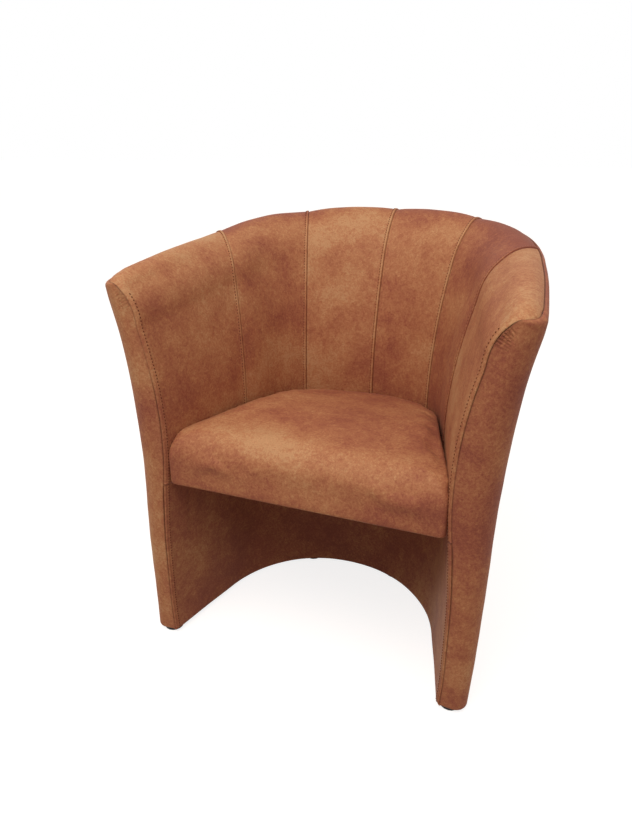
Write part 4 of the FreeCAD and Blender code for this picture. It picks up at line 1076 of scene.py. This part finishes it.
# seat cushion
seatForm = {
    "half": 0.248,             # the space between the arms
    "radius": 0.184,
    "depth": 0.448,
    "sideGap": 0.0040,         # all round inside it
    "setback": 0.0025,         # behind the arms' fronts
    "corner": 0.010,           # radius of the front's corners, seen from above
    "bottom": 0.337,
    "top": 0.4335,
    "rearTop": 0.386,
    "fallFrom": 0.150,         # the top falls to the rear from here
    "frontDrop": (0.003, 0.075, 0.07),       # drop, where it starts, and how long it is
    "sideDrop": (0.002, 0.245),              # drop, and the half width where it is reached
    "wave": (0.0015, 21.0, 17.0),            # height, and waves per 2 pi metres across and back
    "lowEdge": 0.006,          # radius of the lower edge
    "nose": 0.040,             # radius of the front's upper edge
    "edge": 0.010,             # radius of the top edge beside the arms and the back
    "swell": 0.0060,           # how far the simulation may blow up the top
    "give": 0.0002,            # and how far the rest
    "swellAbove": (0.004, 0.05),     # from the bottom, from the arms and from the rear the limit
    "swellInside": (0.236, 0.04),    # grows from the first value on, over the second
    "swellAhead": (0.120, 0.05),
    "voxel": 0.005,
    "pressure": 4.0,
    "frames": 20,
    "tone": -0.5,
    "paleHighlight": 1.1,               # painted highlight on the front's upper edge, together with its paler rubbed nap
}


def dOutline(size, frontX, frontY, armShares, backSteps):
    # a D: along the front, on along the straight arm and round the back for x >= 0, then mirrored
    half, radius, depth = size
    touchX, touchY = ringTouch(half, radius, depth)
    centre = depth - radius
    arm = frontY[-1] + (touchY - frontY[-1]) * armShares
    back = np.linspace(math.atan2(touchY - centre, touchX), math.pi / 2, backSteps)
    x = np.concatenate([frontX, half - (half - touchX) * arm / touchY, radius * np.cos(back)])
    y = np.concatenate([frontY, arm, centre + radius * np.sin(back)])
    return np.concatenate([x, -x[-2:0:-1]]), np.concatenate([y, y[-2:0:-1]])


def keepEvaluated(piece):
    # the mesh with its modifiers applied takes the place of the old one
    made = bpy.data.meshes.new_from_object(
        piece.evaluated_get(bpy.context.evaluated_depsgraph_get()))
    piece.modifiers.clear()
    piece.data = made
    made.name = piece.name


def pointsOf(piece):
    points = np.empty(len(piece.data.vertices) * 3)
    piece.data.vertices.foreach_get("co", points)
    return points.reshape(-1, 3)


def swollen(piece, padForm, capAt):
    # the recipe for a pad: remeshed, blown up as cloth for some frames, each point held back to
    # a limit, then subdivided
    scene = bpy.context.scene
    remesh = piece.modifiers.new("remesh", "REMESH")
    remesh.mode = "VOXEL"
    remesh.voxel_size = padForm["voxel"]
    keepEvaluated(piece)
    start = pointsOf(piece)
    cloth = piece.modifiers.new("cloth", "CLOTH")
    cloth.settings.quality = 6
    cloth.settings.use_pressure = True
    cloth.settings.uniform_pressure_force = padForm["pressure"]
    cloth.settings.effector_weights.gravity = 0.0
    cloth.collision_settings.use_collision = False
    cloth.collision_settings.use_self_collision = False
    cloth.point_cache.frame_start, cloth.point_cache.frame_end = 1, padForm["frames"]
    for step in range(1, padForm["frames"] + 1):
        scene.frame_set(step)
    keepEvaluated(piece)
    scene.frame_set(1)
    move = pointsOf(piece) - start
    far = np.linalg.norm(move, axis=1, keepdims=True)
    move *= np.minimum(1.0, capAt(start)[:, None] / np.maximum(far, 1e-9))
    piece.data.vertices.foreach_set("co", (start + move).ravel())
    print("cushion blown up by", round(float(np.linalg.norm(move, axis=1).max()), 4))
    smooth = piece.modifiers.new("smooth", "SUBSURF")
    smooth.levels = smooth.render_levels = 1
    keepEvaluated(piece)
    piece.data.polygons.foreach_set("use_smooth", np.full(len(piece.data.polygons), True))


def seatCap(points):
    # how far the cloth may go: nothing underneath and against the arms, most on the top
    form = seatForm
    above, inside, ahead = [form[key] for key in ("swellAbove", "swellInside", "swellAhead")]
    high = smoothStep((points[:, 2] - form["bottom"] - above[0]) / above[1])
    fromArm = smoothStep((inside[0] - np.abs(points[:, 0])) / inside[1])
    fromBack = smoothStep((ahead[0] - points[:, 1]) / ahead[1])
    return form["give"] + form["swell"] * high * fromArm * fromBack


def topAt(x, y, depth):
    # height of the top: a little lower at the front and beside the arms, falling to the rear
    form = seatForm
    behind = np.clip((y - form["fallFrom"]) / (depth - form["fallFrom"]), 0.0, 1.0)
    fall = (form["top"] - form["rearTop"]) * behind ** 1.5
    frontDrop, start, length = form["frontDrop"]
    ahead = np.clip((start - y) / length, 0.0, 1.0)
    sideDrop, half = form["sideDrop"]
    height, across, back = form["wave"]
    wave = height * np.sin(x * across + 1.0) * np.sin(y * back + 0.4)
    return form["top"] - fall - frontDrop * ahead ** 2 - sideDrop * (x / half) ** 2 + wave


def buildSeat():
    # rings round the cushion, each the D outline drawn in towards its middle: round the lower
    # edge, up the side, round the upper edge and over the top
    form = seatForm
    half, radius, depth = [form[key] - form["sideGap"] for key in ("half", "radius", "depth")]
    setback, corner, lowEdge = form["setback"], form["corner"], form["lowEdge"]
    turn = np.linspace(0.0, math.pi / 2, 12)
    x, y = dOutline(
        (half, radius, depth),
        np.append(np.linspace(0.0, half - corner, 60)[:-1], half - corner + corner * np.sin(turn)),
        np.append(np.full(59, setback), setback + corner * (1.0 - np.cos(turn))),
        np.linspace(0.0, 1.0, 60)[1:-1], 60)
    middleY = 0.5 * (setback + depth)
    reach = np.hypot(x, y - middleY)
    frontness = smoothStep((setback + 0.030 - y) / 0.028)
    upEdge = form["edge"] + (form["nose"] - form["edge"]) * frontness

    lowTurn = np.linspace(0.0, math.pi / 2, 6)[:, None]
    sideShare = np.linspace(0.0, 1.0, 20)[1:-1, None]
    upTurn = np.linspace(0.0, math.pi / 2, 16)[:, None]
    topShare = np.linspace(1.0, 0.0, 60)[1:-1, None]
    scale = np.concatenate([1.0 - lowEdge * (1.0 - np.sin(lowTurn)) / reach,
                            np.ones((len(sideShare), len(x))),
                            1.0 - upEdge * (1.0 - np.cos(upTurn)) / reach,
                            (1.0 - upEdge / reach) * topShare])
    px, py = x * scale, middleY + (y - middleY) * scale
    low, side, up, top = np.split(topAt(px, py, depth), np.cumsum(
        [len(lowTurn), len(sideShare), len(upTurn)]))
    start = form["bottom"] + lowEdge
    height = np.concatenate([form["bottom"] + lowEdge * (1.0 - np.cos(lowTurn)) + 0.0 * low,
                             start + (side - upEdge - start) * sideShare,
                             up - upEdge * (1.0 - np.sin(upTurn)), top])
    poleY = tub["front"] + middleY
    piece = ringMesh("seat_cushion", np.stack([px, py + tub["front"], height], 2),
                     [[0.0, poleY, form["bottom"]], [0.0, poleY, topAt(0.0, middleY, depth)]])
    swollen(piece, form, seatCap)
    points = pointsOf(piece)
    # painted highlight along the front's upper edge, together with the paler rubbed nap there
    paleHighlight = bell(points[:, 1] - tub["front"] - 0.045, 0.050) * smoothStep(
        (points[:, 2] - 0.375) / 0.04)
    keepValues(piece, "toneAndPaintedLight", form["tone"] + form["paleHighlight"] * paleHighlight)
    finishPiece(piece, suedeCover, ["seat_cover", "seat_foam", "seat_felt"])


# dust cloth under the seat
clothForm = {"half": 0.2064, "radius": 0.1424, "depth": 0.4024, "front": 0.0270,
             "level": 0.3371, "thick": 0.0005, "sag": 0.0060, "crease": 0.0004, "rings": 30}


def buildDustCloth():
    # rings of the D outline, out from the middle underneath and back on top; the cloth sags by
    # the square of the share, and faint creases cross it
    form = clothForm
    size = [form[key] for key in ("half", "radius", "depth")]
    touchX, touchY = ringTouch(*size)
    corner = form["half"] - (form["half"] - touchX) / touchY * form["front"]
    x, y = dOutline(size, np.linspace(0.0, corner, 40)[:-1], np.full(39, form["front"]),
                    np.linspace(0.0, 1.0, 40)[:-1], 40)
    middleY = 0.5 * (form["front"] + form["depth"])
    share = np.linspace(0.0, 1.0, form["rings"] + 1)[1:, None]
    px, py = x * share, tub["front"] + middleY + (y - middleY) * share
    height = form["level"] - form["sag"] * (1.0 - share ** 2)
    height = height + form["crease"] * np.sin(px * 90.0 + 40.0 * py) * (1.0 - share ** 6)
    low = np.stack([px, py, height], 2)
    lowPole = np.array([0.0, tub["front"] + middleY, form["level"] - form["sag"]])
    up = np.array([0.0, 0.0, form["thick"]])
    piece = ringMesh("dust_cloth", np.concatenate([low, low[::-1] + up]), [lowPole, lowPole + up])
    finishPiece(piece, dustWeave, ["dust_cover"])


buildSeat()
buildDustCloth()
print("seat made")


# finish of the CAD nodes, by a word in their names
nodeFinish = {
    "_rib": beechWood, "_stud": beechWood, "_post": beechWood, "seat_frame": beechWood,
    "_lining": hardBoard, "glides": blackPlastic, "_nails": nailSteel, "_screws": nailSteel,
    "webbing": webbingWeave, "dust_cover": dustWeave, "_felt": feltGrey,
}
for name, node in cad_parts.items():
    finish = next((nodeFinish[word] for word in nodeFinish if word in name), suedeCover)
    node.data.materials.clear()
    node.data.materials.append(finish)
print("nodes finished")


# floor, backdrop and light
studio = {
    "floorSize": 30.0,
    "floorColour": (0.40, 0.34, 0.30),
    "floorGlow": 0.82,
    "worldLow": 0.42,          # the world's strength from the sides and from above
    "worldHigh": 0.58,
    "aim": (0.0, 0.0, 0.4),
    "lamps": {"key": ((-0.3, -1.40, 2.7), 2.0, 44.5),      # place, size and power
              "fill": ((1.8, -1.1, 2.0), 1.6, 6.0)},
}


def seenRays(tree):
    # 1 for what the camera sees straight, in gloss and through glass
    rays = tree.nodes.new("ShaderNodeLightPath")
    result = rays.outputs["Is Camera Ray"]
    for name in ("Is Glossy Ray", "Is Transmission Ray"):
        result = mathNode(tree, "MAXIMUM", result, rays.outputs[name])
    return result


def buildFloor():
    # a plain floor that glows where it is seen straight, in gloss or through glass
    size = studio["floorSize"]
    corners = np.array([(-size, -size, 0.0), (size, -size, 0.0), (size, size, 0.0),
                        (-size, size, 0.0)])
    floor = linkMesh("floor", corners, [(0, 1, 2, 3)], smooth=False)
    material, tree, shader = newMaterial("paleFloor", 0.9)
    feed(tree, shader.inputs["Base Color"], studio["floorColour"])
    shader.inputs["Specular IOR Level"].default_value = 0.1
    glow = addNode(tree, "ShaderNodeEmission", Strength=studio["floorGlow"])
    both = fedInOrder(tree, tree.nodes.new("ShaderNodeAddShader"), shader.outputs[0],
                      glow.outputs[0])
    chosen = fedInOrder(tree, tree.nodes.new("ShaderNodeMixShader"), seenRays(tree),
                        shader.outputs[0], both)
    tree.links.new(chosen, tree.nodes["Material Output"].inputs["Surface"])
    floor.data.materials.append(material)


def buildWorld():
    # plain white where it is seen, while its light is stronger from above than from the sides
    world = bpy.data.worlds.new("studio")
    bpy.context.scene.world = world
    world.use_nodes = True
    tree = world.node_tree
    background = tree.nodes["Background"]
    feed(tree, background.inputs["Color"], (1.0, 1.0, 1.0))
    place = tree.nodes.new("ShaderNodeTexCoord").outputs["Generated"]
    parts = tree.nodes.new("ShaderNodeSeparateXYZ")
    tree.links.new(place, parts.inputs[0])
    sky = addNode(tree, "ShaderNodeMapRange", **{
        "Value": parts.outputs["Z"], "From Min": 0.0, "To Min": studio["worldLow"],
        "To Max": studio["worldHigh"]})
    strength = addNode(tree, "ShaderNodeMapRange", **{
        "Value": seenRays(tree), "To Min": sky.outputs["Result"], "To Max": 1.0})
    tree.links.new(strength.outputs["Result"], background.inputs["Strength"])


def addLamp(name, place, size, power):
    data = bpy.data.lights.new(name, "AREA")
    data.shape = "DISK"
    data.size = size
    data.energy = power
    lamp = bpy.data.objects.new(name, data)
    bpy.context.scene.collection.objects.link(lamp)
    lamp.location = place
    direction = np.array(studio["aim"]) - np.array(place)
    lamp.rotation_euler = Vector(direction).to_track_quat("-Z", "Y").to_euler()


buildFloor()
buildWorld()
for name, lamp in studio["lamps"].items():
    addLamp(name, *lamp)
bpy.context.scene.view_settings.view_transform = "Standard"
print("stage lit")
